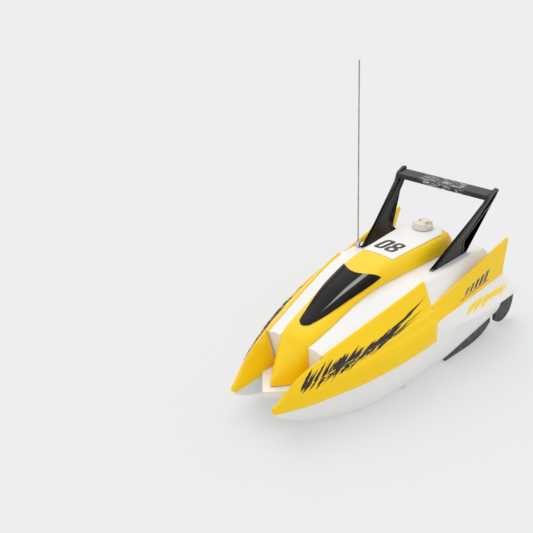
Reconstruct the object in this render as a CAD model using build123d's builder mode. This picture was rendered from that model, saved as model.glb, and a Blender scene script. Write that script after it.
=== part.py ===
from build123d import *
import os

os.makedirs("parts", exist_ok=True)

# ---------------------------------------------------------------------------------------------
# Toy radio-controlled catamaran, 1:1, millimetres.
# Frame: +Z up, the boat stands on its two hulls at Z = 0, the bow points to -Y, port is +X.
# "Station" is the distance aft of the two bow tips on the drawn boat, 264 mm tip to transom.
# ---------------------------------------------------------------------------------------------

# driving sizes
HULL_LENGTH = 264.0          # bow tips to transom
BEAM = 158.0                 # over the stern flares
DECK_HEIGHT = 85.0           # flat rear deck above the ground
WALL = 2.0                   # hull and deck shell
SKIN = 1.6                   # coloured covers clipped over the shell
FIT = 0.2                    # gap between a lift-off part and its seat

# tunnel and prow
TUNNEL_HALF = 22.0
TUNNEL_TOP = 24.0
PROW_STATION = 12.0
PROW_TOP = 30.5
PROW_STEP = 1.2

# drive line, one in each hull
DRIVE_X = 43.5
SHAFT_HEIGHT = 10.5
MOTOR_STATION = 142.0
MOTOR_LENGTH = 25.0
MOTOR_DIAMETER = 20.4
MOTOR_FLATS = 15.4
MOTOR_SHAFT = 2.0
PROP_SHAFT = 2.0
TUBE_WALL = 0.8
RUNNING_GAP = 0.06
COUPLING_DIAMETER = 7.0
COUPLING_LENGTH = 14.0
PROP_DIAMETER = 16.6
PROP_HUB = 6.0
PROP_WIDTH = 5.0
PROP_GAP = 3.4               # transom to propeller
BLADES = 3
TUBE_START = 189.0           # station where the stuffing tube begins

# rudders
RUDDER_X = 56.0
RUDDER_LENGTH = 32.0
RUDDER_HEIGHT = 23.5
RUDDER_BASE = 1.8
RUDDER_THICKNESS = 2.4
RUDDER_GAP = 2.0
PINTLE_SETBACK = 2.4
PINTLE_DIAMETER = 2.0
BRACKET_HEIGHT = 9.0
BRACKET_WIDTH = 6.0

# cowl, windscreen, roof plate and latch knob
COWL_WALL = 1.8
SCREEN_SKIN = 0.9
ROOF_PLATE = 1.0
KNOB_STATION = 224.0
KNOB_DIAMETER = 19.0
KNOB_HIGH = 5.5
LATCH_POST = 5.0
LATCH_TONGUE = 13.0
LATCH_TONGUE_WIDE = 4.4
LATCH_DEPTH = 3.0            # under side of the deck to the foot of the tongue

# arch
ARCH_PLATE = 3.2
ARCH_FOOT_X = 38.5
ARCH_SPLAY = 12.0            # degrees outward
ARCH_RISE = 47.5             # deck to the under side of the wing
ARCH_TAB = 4.0

# aerial
AERIAL_X = 42.5
AERIAL_STATION = 183.0
AERIAL_WIRE = 1.2
AERIAL_LENGTH = 176.0
AERIAL_SOCKET = 4.2

# screws, all self-tapping
SCREW_SHANK = 2.0
SCREW_HEAD = 4.4
SCREW_HEAD_HIGH = 1.6

# hatch, battery, receiver
HATCH_HALF = 17.0
HATCH_FRONT = 98.0
HATCH_REAR = 214.0
CELL_DIAMETER = 14.5
CELL_LENGTH = 50.5
WRAP = 0.6
BATTERY_FRONT = 106.0
BOARD_LENGTH = 38.0
BOARD_WIDTH = 32.0
BOARD_THICK = 1.6
BOARD_FRONT = 61.0
STANDOFF = 3.0
SWITCH_WIDE = 15.0
SWITCH_HIGH = 7.0
SWITCH_TRAVEL = 4.0
WIRE = 1.3

LENGTH_SCALE = HULL_LENGTH / 264.0
BEAM_SCALE = BEAM / 158.0
HEIGHT_SCALE = DECK_HEIGHT / 85.0
OVERALL = HULL_LENGTH + RUDDER_GAP + RUDDER_LENGTH

# Lines of the port side: (station, half-breadth, height).  They are the table of offsets of the boat.
BILGE = [(3, 23.4, 22), (20, 28.5, 12), (40, 34.5, 4.5), (60, 43.5, 2.2), (84, 51, 0.8), (110, 54.5, 0),
         (172, 57, 0), (200, 58, 4), (264, 57, 12)]
SHEER = [(3, 24.5, 26), (20, 33, 26.5), (34, 39.5, 28), (50, 46, 30), (75, 55, 33), (110, 64, 38),
         (147, 69.5, 43.5), (165, 71, 46.5), (200, 77, 46.5), (232, 79, 46.5), (264, 78.5, 46.5)]
HULL_TOP = [(3, 24.5, 26), (20, 33, 26.5), (34, 39.5, 28), (50, 46, 30), (75, 55, 33), (110, 64, 38),
            (147, 69.5, 43.5), (165, 70.5, 46.5), (200, 70, 46.5), (232, 69, 46.5), (264, 66, 46.5)]
SHOULDER = [(3, 24.2, 29), (20, 32, 36), (34, 38.5, 39.5), (50, 45, 43), (75, 54, 47), (110, 63, 51.5),
            (147, 68, 56), (200, 66, 58.5), (264, 62, 61.5)]
DECK_EDGE = [(3, 23.2, 31.5), (20, 25.5, 46), (34, 28, 53), (50, 31, 57.5), (75, 35, 64), (110, 40.5, 73),
             (147, 45.5, 82), (165, 46.5, 85), (264, 46, 85)]
CROWN = [(50, 22, 60), (75, 22, 68.5), (110, 22, 79.5), (147, 22, 84.5), (165, 22, 85), (264, 22, 85)]
BOW_STATIONS = [3, 20, 34, 50]
MAIN_STATIONS = [50, 75, 110, 147, 165, 200, 232, 264]
HULL_STATIONS = [3, 20, 34, 40, 50, 60, 75, 84, 110, 147, 165, 172, 200, 232, 264]

# Cowl sections: station, (foot x, foot z), (flank x, flank z), (roof edge x, roof edge z), ridge z
COWL_SECTIONS = [
    (21.5, (0.8, 31.2), (0.7, 33.2), (0.4, 34.4), 34.6),
    (34, (12.2, 31.2), (10.5, 38), (7, 44), 46),
    (43, (19.6, 31.2), (17.5, 44), (10.5, 53), 54.5),
    (50, (19.6, 31.2), (17.2, 54), (11.5, 60.5), 61.5),
    (75, (19, 62), (18, 70), (11.5, 74.5), 76),
    (110, (20, 74), (19.6, 83), (13, 88), 89.5),
    (137, (22, 80), (21.2, 90), (16, 95.5), 97),
    (157, (24, 83), (22.8, 92.5), (17, 98.6), 99.6),
    (225, (27.5, 83), (26, 93), (21.2, 100.2), 101.4),
    (235, (26, 83), (24.5, 92), (19.8, 99.6), 101),
    (244, (19, 83), (17, 90.5), (11, 94), 95),
    (251, (11, 83), (9, 86), (5, 87.5), 88),
]


def along(station):
    """Y of a station."""
    return station * LENGTH_SCALE - OVERALL / 2


def across(breadth):
    """X of a half-breadth drawn for the 158 mm boat."""
    return breadth * BEAM_SCALE


def up(height):
    """Z of a height drawn for the 85 mm deck."""
    return height * HEIGHT_SCALE


def on(line, station):
    """Point (x, z) of a hull line at a station, straight between its drawn points."""
    for (s0, x0, z0), (s1, x1, z1) in zip(line, line[1:]):
        if station <= s1:
            t = max(0.0, (station - s0) / (s1 - s0))
            return across(x0 + t * (x1 - x0)), up(z0 + t * (z1 - z0))
    return across(line[-1][1]), up(line[-1][2])


def section_plane(station):
    """Cross-section plane at a station: local x is X, local y is Z."""
    return Plane.XZ.offset(-along(station))


def ruled_body(outlines):
    """Straight-sided body through closed outlines, given as {station: points}."""
    with BuildPart() as body:
        for station, points in outlines.items():
            with BuildSketch(section_plane(station)):
                with BuildLine():
                    Polyline(*points, close=True)
                make_face()
        loft(ruled=True)
    return body.part


def both_sides(port_body):
    """The port body and its mirror image as one part."""
    with BuildPart() as pair:
        add(port_body)
        mirror(port_body, about=Plane.YZ)
    return pair.part


def save(piece, name):
    """Label a finished piece and write its STEP file."""
    piece.part.label = name
    export_step(piece.part, f"parts/{name}.step")


INNER = across(TUNNEL_HALF)
DRIVE = across(DRIVE_X)
RUDDER = across(RUDDER_X)
ROOF_OF_TUNNEL = up(TUNNEL_TOP)
TRANSOM = along(264)


# ---------------------------------------------------------------------------------------------
# Outer forms: the solid shapes that shells, covers and the cowl are cut from
# ---------------------------------------------------------------------------------------------
def hull_outline(station, inset=0.0, lift=0.0):
    """Outline of one lower hull: keel flat, bilge, round side, sheer."""
    bilge_x, bilge_z = on(BILGE, station)
    top_x, top_z = on(HULL_TOP, station)
    side_x = bilge_x + 0.72 * (top_x - bilge_x)
    side_z = bilge_z + 0.45 * (top_z - bilge_z)
    turn_x = bilge_x - 0.12 * (bilge_x - INNER)
    keel_x = INNER + 0.22 * (bilge_x - INNER)
    return [
        (INNER + inset, top_z + lift),
        (INNER + inset, bilge_z + 0.3 * (top_z - bilge_z) + 0.3 * inset),
        (keel_x + inset, bilge_z + inset),
        (turn_x - 0.5 * inset, bilge_z + inset),
        (bilge_x - inset + 0.03 * (top_z - bilge_z), bilge_z + 0.12 * (top_z - bilge_z) + 0.4 * inset),
        (side_x - 1.1 * inset, side_z),
        (top_x - 1.1 * inset, top_z + lift),
    ]


def side_outline(station):
    """Outline of one sponson above the sheer, ahead of the main deck."""
    sheer_x, sheer_z = on(SHEER, station)
    edge_x, edge_z = on(DECK_EDGE, station)
    return [(INNER, sheer_z), (sheer_x, sheer_z), on(SHOULDER, station), (edge_x, edge_z), (INNER, edge_z)]


def deck_outline(station):
    """Outline of the port half of the deck moulding."""
    sheer_x, sheer_z = on(SHEER, station)
    crown_x, crown_z = on(CROWN, station)
    return [(0, sheer_z), (sheer_x, sheer_z), on(SHOULDER, station), on(DECK_EDGE, station),
            (crown_x, crown_z), (0, crown_z)]


def deck_hollow_outline(station):
    """Inside of the port half of the deck moulding."""
    top_x, top_z = on(HULL_TOP, station)
    shoulder_x, shoulder_z = on(SHOULDER, station)
    edge_x, edge_z = on(DECK_EDGE, station)
    crown_x, crown_z = on(CROWN, station)
    foot_x = min(top_x, shoulder_x) - 1.3 * WALL
    return [(0, top_z - 1), (foot_x, top_z - 1), (shoulder_x - 1.4 * WALL, shoulder_z - 0.4 * WALL),
            (edge_x - 0.7 * WALL, edge_z - WALL), (crown_x, crown_z - WALL), (0, crown_z - WALL)]


def cover_outline(station):
    """Outer outline of a sponson cover, which caps the sponson and laps over the deck edge."""
    sheer_x, sheer_z = on(SHEER, station)
    shoulder_x, shoulder_z = on(SHOULDER, station)
    edge_x, edge_z = on(DECK_EDGE, station)
    inner_x = INNER - SKIN if station <= 34 else edge_x - 1.8
    inner_z = sheer_z if station <= 34 else edge_z - 2
    return [(inner_x, inner_z), (sheer_x + SKIN, sheer_z), (shoulder_x + SKIN, shoulder_z + 0.4 * SKIN),
            (edge_x + 0.4 * SKIN, edge_z + SKIN), (inner_x, edge_z + SKIN)]


def prow_wedge(first_station, low, high):
    """Chevron block between the hulls, pointed forward."""
    point = along(first_station)
    rear = along(52)
    with BuildPart() as wedge:
        with BuildSketch(Plane.XY.offset(low)):
            with BuildLine():
                Polyline((0, point), (INNER + 0.5, point + INNER), (INNER + 0.5, rear),
                         (-INNER - 0.5, rear), (-INNER - 0.5, point + INNER), close=True)
            make_face()
        extrude(amount=high - low)
    return wedge.part


hull_side_form = ruled_body({s: hull_outline(s) for s in HULL_STATIONS})
hull_side_hollow = ruled_body({
    s: hull_outline(s, inset=WALL, lift=2) for s in HULL_STATIONS[1:-1] + [262]})
deck_main_form = both_sides(ruled_body({s: deck_outline(s) for s in MAIN_STATIONS}))
deck_bow_form = ruled_body({s: side_outline(s) for s in BOW_STATIONS})
deck_hollow = both_sides(ruled_body({s: deck_hollow_outline(s) for s in [53, 75, 110, 147, 165, 200, 232, 261]}))

# the parting line between hull and deck, as seen from the side
sheer_profile = [(along(s), on(SHEER, s)[1]) for s in [3, 20, 34, 50, 75, 110, 147, 165, 264]]

with BuildPart() as below_sheer:
    with BuildSketch(Plane.YZ.offset(-BEAM)):
        with BuildLine():
            Polyline((along(3), -5), *sheer_profile, (TRANSOM, -5), close=True)
        make_face()
    extrude(amount=2 * BEAM)

# stern wing tips of the flares
flare_tip_outlines = {
    264: [(across(60), up(46.5)), (across(78.5), up(46.5)), (across(62.06), up(61.45))],
    283: [(across(74.5), up(44.6)), (across(76.5), up(44.6)), (across(74.9), up(46))],
}
flare_tip = ruled_body(flare_tip_outlines)

with BuildPart() as transom_cut:
    with BuildSketch(Plane.YZ.offset(-BEAM)):
        with BuildLine():
            Polyline((along(254), up(85)), (TRANSOM, up(68)), (TRANSOM + 9, up(68)),
                     (TRANSOM + 9, up(92)), (along(254), up(92)), close=True)
        make_face()
    extrude(amount=2 * BEAM)

with BuildPart() as deck_room:
    add(deck_hollow)
    add(transom_cut.part.moved(Location((0, -1.5 * WALL, -WALL))), mode=Mode.SUBTRACT)

with BuildPart() as deck_form:
    add(deck_main_form)
    add(both_sides(deck_bow_form))
    add(prow_wedge(PROW_STATION, up(25), up(PROW_TOP)))
    add(transom_cut.part, mode=Mode.SUBTRACT)
    add(below_sheer.part, mode=Mode.SUBTRACT)
    add(both_sides(flare_tip))


hull_form = both_sides(hull_side_form)


def cowl_outline(section, inset=0.0):
    """Closed outline of the cowl at one of its sections; a negative inset grows it."""
    station, foot, flank, edge, ridge = section
    port = [(across(foot[0]) - inset, up(foot[1]) - max(inset, 0.0) * 3),
            (across(flank[0]) - inset, up(flank[1]) - 0.3 * inset),
            (across(edge[0]) - 0.7 * inset, up(edge[1]) - inset)]
    starboard = [(-x, z) for x, z in reversed(port)]
    return port + [(0, up(ridge) - inset)] + starboard


cowl_form = ruled_body({s[0]: cowl_outline(s) for s in COWL_SECTIONS})
screen_form = ruled_body({s[0]: cowl_outline(s, -SCREEN_SKIN) for s in COWL_SECTIONS})
plate_form = ruled_body({s[0]: cowl_outline(s, -ROOF_PLATE) for s in COWL_SECTIONS})
cowl_hollow = ruled_body({
    s[0] + shift: cowl_outline(s, COWL_WALL) for s, shift in zip(COWL_SECTIONS[2:-1], [2] + [0] * 7 + [-2])})

# ---------------------------------------------------------------------------------------------
# Screw positions, shared by the screws and the pieces that they join
# ---------------------------------------------------------------------------------------------
DECK_SCREWS = [(side * across(x), along(s), on(HULL_TOP, s)[1])
               for side in (1, -1) for x, s in ((32, 60), (52, 127), (52, 222))]
BOSS_RADIUS = 1.6 * SCREW_SHANK
COVER_SCREWS = [(side * across(33.5), along(s), on(BILGE, s)[1]) for side in (1, -1) for s in (214, 242)]
COVER_SEAT = 2.2
BRACKET_Z = RUDDER_BASE + RUDDER_HEIGHT + 1.4
BRACKET_SCREW_Z = BRACKET_Z + BRACKET_HEIGHT / 2
BRACKET_REACH = BRACKET_WIDTH / 2 + SCREW_HEAD / 2 + 0.2
CONTACTS = [(across(x), along(122)) for x in (35, 45)]
PINTLE_Y = TRANSOM + RUDDER_GAP + PINTLE_SETBACK


def screw(shank_length):
    """Pan-head self-tapping screw: head on its seat at the origin, shank pointing up."""
    with BuildPart() as one:
        Cylinder(SCREW_SHANK / 2, shank_length, align=(Align.CENTER, Align.CENTER, Align.MIN))
        Cylinder(SCREW_HEAD / 2, SCREW_HEAD_HIGH, align=(Align.CENTER, Align.CENTER, Align.MAX))
        with Locations((0, 0, -SCREW_HEAD_HIGH)):
            Box(SCREW_HEAD * 0.7, 0.6, 1.4, mode=Mode.SUBTRACT)
            Box(0.6, SCREW_HEAD * 0.7, 1.4, mode=Mode.SUBTRACT)
    return one.part


def round_bar(start, direction, radius, length):
    """Plain cylinder from a start point along a direction."""
    with BuildPart() as bar:
        with BuildSketch(Plane(origin=start, z_dir=direction)):
            Circle(radius)
        extrude(amount=length)
    return bar.part


def block(x_range, y_range, z_range):
    """Plain box between two corners."""
    centre = tuple((a + b) / 2 for a, b in (x_range, y_range, z_range))
    with BuildPart() as solid:
        with Locations(centre):
            Box(x_range[1] - x_range[0], y_range[1] - y_range[0], z_range[1] - z_range[0])
    return solid.part


def wire_run(points, bend, radius=WIRE / 2):
    """Round wire through points with bends of one radius."""
    with BuildPart() as run:
        with BuildLine() as path:
            FilletPolyline(*points, radius=bend)
        with BuildSketch(Plane(origin=path.wires()[0] @ 0, z_dir=path.wires()[0] % 0)):
            Circle(radius)
        sweep()
    return run.part


def mirrored(port_part):
    """Starboard twin of a port part."""
    with BuildPart() as twin:
        mirror(port_part, about=Plane.YZ)
    return twin


# ---------------------------------------------------------------------------------------------
# Hull shell: two hulls joined by the bridge over the tunnel
# ---------------------------------------------------------------------------------------------
tube_radius = PROP_SHAFT / 2 + RUNNING_GAP + TUBE_WALL
floor_z = ROOF_OF_TUNNEL + WALL
boss_floor = up(3)

with BuildPart() as bridge:
    add(prow_wedge(PROW_STATION + PROW_STEP, ROOF_OF_TUNNEL, up(60)))
    add(block((-INNER - 0.5, INNER + 0.5), (along(51), TRANSOM), (ROOF_OF_TUNNEL, up(60))))
    add(below_sheer.part, mode=Mode.INTERSECT)

with BuildPart() as hull_bosses:
    for x, y, z in DECK_SCREWS:
        add(round_bar((x, y, 0), (0, 0, 1), BOSS_RADIUS, z))
    for x, y, z in COVER_SCREWS:
        add(round_bar((x, y, 0), (0, 0, 1), BOSS_RADIUS, z + 6))
    add(hull_form, mode=Mode.INTERSECT)

with BuildPart() as hull_lower:
    add(hull_form)
    add(bridge.part)
    add(both_sides(hull_side_hollow), mode=Mode.SUBTRACT)
    add(block((-INNER - WALL - 1, INNER + WALL + 1), (along(58), along(262)), (floor_z, up(60))),
        mode=Mode.SUBTRACT)
    add(hull_bosses.part)
    for x in (-BOARD_WIDTH / 2 + 3, BOARD_WIDTH / 2 - 3):
        for y in (along(BOARD_FRONT) + 3, along(BOARD_FRONT) + BOARD_LENGTH - 3):
            add(round_bar((x, y, floor_z), (0, 0, 1), BOSS_RADIUS * 0.8, STANDOFF))
            add(round_bar((x, y, floor_z + 0.4), (0, 0, 1), SCREW_SHANK / 2, STANDOFF), mode=Mode.SUBTRACT)
    for side in (1, -1):
        add(round_bar((side * DRIVE, along(185), SHAFT_HEIGHT), (0, 1, 0), tube_radius, 120),
            mode=Mode.SUBTRACT)
    for x, y, z in DECK_SCREWS:
        add(round_bar((x, y, -1), (0, 0, 1), SCREW_SHANK / 2 + 0.1, 60), mode=Mode.SUBTRACT)
        add(round_bar((x, y, -1), (0, 0, 1), SCREW_HEAD / 2 + 0.2, z - 5), mode=Mode.SUBTRACT)
    for x, y, z in COVER_SCREWS:
        add(round_bar((x, y, z - 1), (0, 0, 1), SCREW_SHANK / 2, 5), mode=Mode.SUBTRACT)
    for x in (-RUDDER - BRACKET_REACH, -RUDDER + BRACKET_REACH, RUDDER - BRACKET_REACH, RUDDER + BRACKET_REACH):
        add(round_bar((x, TRANSOM - 5, BRACKET_SCREW_Z), (0, 1, 0), SCREW_SHANK / 2, 6), mode=Mode.SUBTRACT)
    for x, y in CONTACTS:
        add(round_bar((x, y, -1), (0, 0, 1), 1.2, 5), mode=Mode.SUBTRACT)

# ---------------------------------------------------------------------------------------------
# Deck shell with the chevron prow, the flares and the hatch opening
# ---------------------------------------------------------------------------------------------
with BuildPart() as deck_bosses:
    for x, y, z in DECK_SCREWS:
        add(round_bar((x, y, z), (0, 0, 1), BOSS_RADIUS, 60))
    add(deck_form.part, mode=Mode.INTERSECT)

deck_skin_z = DECK_HEIGHT - WALL
latch_y = along(KNOB_STATION)

with BuildPart() as deck_upper:
    add(deck_form.part)
    add(deck_room.part, mode=Mode.SUBTRACT)
    add(deck_bosses.part)
    for x, y, z in DECK_SCREWS:
        add(round_bar((x, y, z - 1), (0, 0, 1), SCREW_SHANK / 2, 9), mode=Mode.SUBTRACT)
    add(block((-HATCH_HALF, HATCH_HALF), (along(HATCH_FRONT), along(HATCH_REAR)), (up(70), up(90))),
        mode=Mode.SUBTRACT)
    # keyhole of the latch: the tongue passes when it lies along the boat
    add(block((-LATCH_TONGUE_WIDE / 2 - 0.5, LATCH_TONGUE_WIDE / 2 + 0.5),
              (latch_y - LATCH_TONGUE / 2 - 0.5, latch_y + LATCH_TONGUE / 2 + 0.5),
              (deck_skin_z - 1, DECK_HEIGHT + 1)), mode=Mode.SUBTRACT)
    # slots for the tabs of the arch
    for side in (1, -1):
        for station in (194, 222):
            add(block((side * ARCH_FOOT_X - ARCH_PLATE / 2, side * ARCH_FOOT_X + ARCH_PLATE / 2),
                      (along(station) - ARCH_TAB, along(station) + ARCH_TAB),
                      (deck_skin_z - 2, DECK_HEIGHT + 1)), mode=Mode.SUBTRACT)
    add(round_bar((-AERIAL_X, along(AERIAL_STATION), up(70)), (0, 0, 1), AERIAL_SOCKET / 2 - 0.6, 30),
        mode=Mode.SUBTRACT)
    # window of the power switch in the transom
    add(block((-SWITCH_WIDE / 2 + 2, SWITCH_WIDE / 2 - 2), (along(259), along(266)),
              (up(57) - SWITCH_HIGH / 2 + 1.5, up(57) + SWITCH_HIGH / 2 - 1.5)), mode=Mode.SUBTRACT)

save(hull_lower, "hull_lower")
save(deck_upper, "deck_upper")

# ---------------------------------------------------------------------------------------------
# Coloured covers over the two bows, and the tail fins
# ---------------------------------------------------------------------------------------------
tip_outline = [(across(21.2), up(25.6)), (across(23.4), up(25.4)), (across(23.2), up(29)),
               (across(22.7), up(32)), (across(21.4), up(32.4))]
cover_outlines = {0: tip_outline}
cover_outlines.update({s: cover_outline(s) for s in [3, 20, 34, 50, 75, 110, 147, 165]})

with BuildPart() as cover_trim:
    with BuildSketch(Plane.YZ.offset(0)):
        with BuildLine():
            Polyline((along(146.5), up(38)), (along(147.5), up(50)), (along(163), up(90)),
                     (along(180), up(90)), (along(180), up(38)), close=True)
        make_face()
    extrude(amount=BEAM)

with BuildPart() as port_cover:
    add(ruled_body(cover_outlines))
    add(cover_trim.part, mode=Mode.SUBTRACT)
    add(deck_form.part, mode=Mode.SUBTRACT)
    add(hull_form, mode=Mode.SUBTRACT)

fin_outlines = {
    140: [(across(66), up(54.6)), (across(68.2), up(56.2)), (across(59.6), up(66.1)), (across(57.3), up(64.6))],
    274: [(across(60.8), up(61)), (across(63.4), up(61)), (across(61.4), up(94.6)), (across(59.2), up(94.6))],
}

with BuildPart() as fin_trim:
    with BuildSketch(Plane.YZ.offset(0)):
        with BuildLine():
            Polyline((along(130), up(40)), (along(147.2), up(48)), (along(148.2), up(50)),
                     (along(163.6), up(90)), (along(130), up(90)), close=True)
        make_face()
        with BuildLine():
            Polyline((along(261), up(58)), (along(262.5), up(66)), (along(271), up(92)),
                     (along(269), up(100)), (along(290), up(100)), (along(290), up(58)), close=True)
        make_face()
    extrude(amount=BEAM)

with BuildPart() as port_fin:
    add(ruled_body(fin_outlines))
    add(fin_trim.part, mode=Mode.SUBTRACT)
    add(deck_form.part, mode=Mode.SUBTRACT)

starboard_cover = mirrored(port_cover.part)
starboard_fin = mirrored(port_fin.part)
save(port_cover, "port_sponson_cover")
save(starboard_cover, "starboard_sponson_cover")
save(port_fin, "port_fin")
save(starboard_fin, "starboard_fin")

# ---------------------------------------------------------------------------------------------
# Cowl: the lift-off hatch with its windscreen, roof plate and latch
# ---------------------------------------------------------------------------------------------
roof_z = up(101.4)
plate_z = roof_z + ROOF_PLATE

with BuildPart() as deck_clearance:
    for shift in ((0, 0, 0), (0, -FIT, 0), (0, -FIT, FIT)):
        add(deck_form.part.moved(Location(shift)))

with BuildPart() as cowl:
    add(cowl_form)
    add(cowl_hollow, mode=Mode.SUBTRACT)
    add(deck_clearance.part, mode=Mode.SUBTRACT)
    add(round_bar((0, latch_y, up(70)), (0, 0, 1), LATCH_POST / 2 + 0.3, 60), mode=Mode.SUBTRACT)

with BuildPart() as windscreen:
    with BuildSketch(Plane.XY.offset(up(40))):
        with BuildLine():
            tip = (0, along(59.5))
            corner = (across(20), along(136.3))
            ThreePointArc(tip, (across(11.8), along(92)), corner)
            ThreePointArc(corner, (0, along(125)), (-corner[0], corner[1]))
            ThreePointArc((-corner[0], corner[1]), (-across(11.8), along(92)), tip)
        make_face()
    extrude(amount=up(80))
    add(screen_form, mode=Mode.INTERSECT)
    add(cowl_form, mode=Mode.SUBTRACT)

with BuildPart() as roof_plate:
    with BuildSketch(Plane.XY.offset(up(92))):
        with BuildLine():
            Polyline((across(15.7), along(157.4)), (across(19.6), along(225)), (across(12), along(235)),
                     (-across(12), along(235)), (-across(19.6), along(225)), (-across(15.7), along(157.4)),
                     close=True)
        make_face()
    extrude(amount=up(20))
    add(plate_form, mode=Mode.INTERSECT)
    add(cowl_form, mode=Mode.SUBTRACT)
    add(round_bar((0, latch_y, up(70)), (0, 0, 1), LATCH_POST / 2 + 0.3, 60), mode=Mode.SUBTRACT)

tongue_top = deck_skin_z - 0.4
post_foot = tongue_top - LATCH_DEPTH

with BuildPart() as hatch_knob:
    with BuildSketch(Plane.XY.offset(plate_z + 0.3)):
        Circle(KNOB_DIAMETER / 2)
    extrude(amount=KNOB_HIGH, taper=12)
    fillet(hatch_knob.faces().sort_by(Axis.Z)[-1].edges(), 1.2)
    knob_top = plate_z + 0.3 + KNOB_HIGH
    for x in (-1, 1):
        with Locations((x * KNOB_DIAMETER * 0.36, 0, knob_top)):
            Cylinder(KNOB_DIAMETER * 0.22, 5, mode=Mode.SUBTRACT)
hatch_knob.part = hatch_knob.part.moved(Location((0, latch_y, 0)))

with BuildPart() as latch_post:
    add(round_bar((0, latch_y, post_foot), (0, 0, 1), LATCH_POST / 2, plate_z + 0.3 - post_foot))
    add(block((-LATCH_TONGUE_WIDE / 2, LATCH_TONGUE_WIDE / 2),
              (latch_y - LATCH_TONGUE / 2, latch_y + LATCH_TONGUE / 2), (post_foot, tongue_top)))

save(cowl, "cowl")
save(windscreen, "windscreen")
save(roof_plate, "roof_plate")
save(hatch_knob, "hatch_knob")
save(latch_post, "latch_post")

# ---------------------------------------------------------------------------------------------
# Arch: two raked struts, splayed outward, and the wing between them
# ---------------------------------------------------------------------------------------------
splay = Plane(origin=(ARCH_FOOT_X, 0, DECK_HEIGHT), x_dir=(0, 1, 0), z_dir=Vector(1, 0, 0).rotate(Axis.Y, ARCH_SPLAY))
wing_z = DECK_HEIGHT + ARCH_RISE

with BuildPart() as port_strut:
    with BuildSketch(splay):
        with BuildLine():
            Polyline((along(186.5), -0.5), (along(247), ARCH_RISE - 0.5), (along(251), ARCH_RISE + 6),
                     (along(261), ARCH_RISE + 9.5), (along(264), ARCH_RISE + 9), (along(260), ARCH_RISE - 2),
                     (along(225), 15.5), (along(232), 0.5), (along(232), -0.5), close=True)
        make_face()
    extrude(amount=ARCH_PLATE / 2, both=True)
    add(deck_form.part, mode=Mode.SUBTRACT)
    for station in (194, 222):
        add(block((ARCH_FOOT_X - ARCH_PLATE / 2, ARCH_FOOT_X + ARCH_PLATE / 2),
                  (along(station) - ARCH_TAB, along(station) + ARCH_TAB),
                  (deck_skin_z - 1.5, DECK_HEIGHT + 0.3)))

starboard_strut = mirrored(port_strut.part)
wing_reach = ARCH_FOOT_X + ARCH_RISE * 0.2126 - 0.6

with BuildPart() as arch_wing:
    with BuildSketch(Plane.YZ.offset(-wing_reach)):
        with BuildLine():
            Polyline((along(248), wing_z), (along(249.5), wing_z + 4.4), (along(261), wing_z + 6.2),
                     (along(262), wing_z + 5.2), (along(259.5), wing_z + 1.6), close=True)
        make_face()
    extrude(amount=2 * wing_reach)
    add(port_strut.part, mode=Mode.SUBTRACT)
    add(starboard_strut.part, mode=Mode.SUBTRACT)

save(port_strut, "arch_port_strut")
save(starboard_strut, "arch_starboard_strut")
save(arch_wing, "arch_wing")

# ---------------------------------------------------------------------------------------------
# Aerial
# ---------------------------------------------------------------------------------------------
aerial_y = along(AERIAL_STATION)

with BuildPart() as aerial_wire:
    add(round_bar((-AERIAL_X, aerial_y, DECK_HEIGHT - 4), (0, 0, 1), AERIAL_WIRE / 2, AERIAL_LENGTH))

with BuildPart() as aerial_socket:
    add(round_bar((-AERIAL_X, aerial_y, DECK_HEIGHT - 4), (0, 0, 1), AERIAL_SOCKET / 2 - 0.6, 4))
    add(round_bar((-AERIAL_X, aerial_y, DECK_HEIGHT), (0, 0, 1), AERIAL_SOCKET / 2, 6))
    add(aerial_wire.part, mode=Mode.SUBTRACT)

with BuildPart() as aerial_nut:
    with BuildSketch(Plane(origin=(-AERIAL_X, aerial_y, deck_skin_z - 2))):
        RegularPolygon(AERIAL_SOCKET / 2 + 0.4, 6)
        Circle(AERIAL_SOCKET / 2 - 0.6, mode=Mode.SUBTRACT)
    extrude(amount=2)

save(aerial_wire, "aerial_wire")
save(aerial_socket, "aerial_socket")
save(aerial_nut, "aerial_nut")

# ---------------------------------------------------------------------------------------------
# Drive line of one hull: motor, coupling, shaft in its stuffing tube, propeller, drive cover
# ---------------------------------------------------------------------------------------------
motor_y = along(MOTOR_STATION)
motor_rear = motor_y + MOTOR_LENGTH
nose_length = 2.0
coupling_y = motor_rear + nose_length + 1.5
coupling_grip = COUPLING_LENGTH * 0.42
tube_y = along(TUBE_START)
tube_end = TRANSOM + 1.0
prop_y = TRANSOM + PROP_GAP
prop_end = prop_y + PROP_WIDTH


def drive_bar(start_y, radius, length):
    """Cylinder on the port drive axis."""
    return round_bar((DRIVE, start_y, SHAFT_HEIGHT), (0, 1, 0), radius, length)


with BuildPart() as motor_shape:
    add(drive_bar(motor_y, MOTOR_DIAMETER / 2, MOTOR_LENGTH))
    add(block((DRIVE - 20, DRIVE + 20), (motor_y - 1, motor_rear + 1),
              (SHAFT_HEIGHT - MOTOR_FLATS / 2, SHAFT_HEIGHT + MOTOR_FLATS / 2)), mode=Mode.INTERSECT)

with BuildPart() as port_motor:
    add(motor_shape.part)
    add(drive_bar(motor_rear, 3.2, nose_length))
    add(drive_bar(motor_rear - 16, MOTOR_SHAFT / 2 + RUNNING_GAP, 30), mode=Mode.SUBTRACT)

with BuildPart() as port_motor_shaft:
    add(drive_bar(motor_rear - 15.5, MOTOR_SHAFT / 2, coupling_y + coupling_grip - motor_rear + 15.5))

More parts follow.
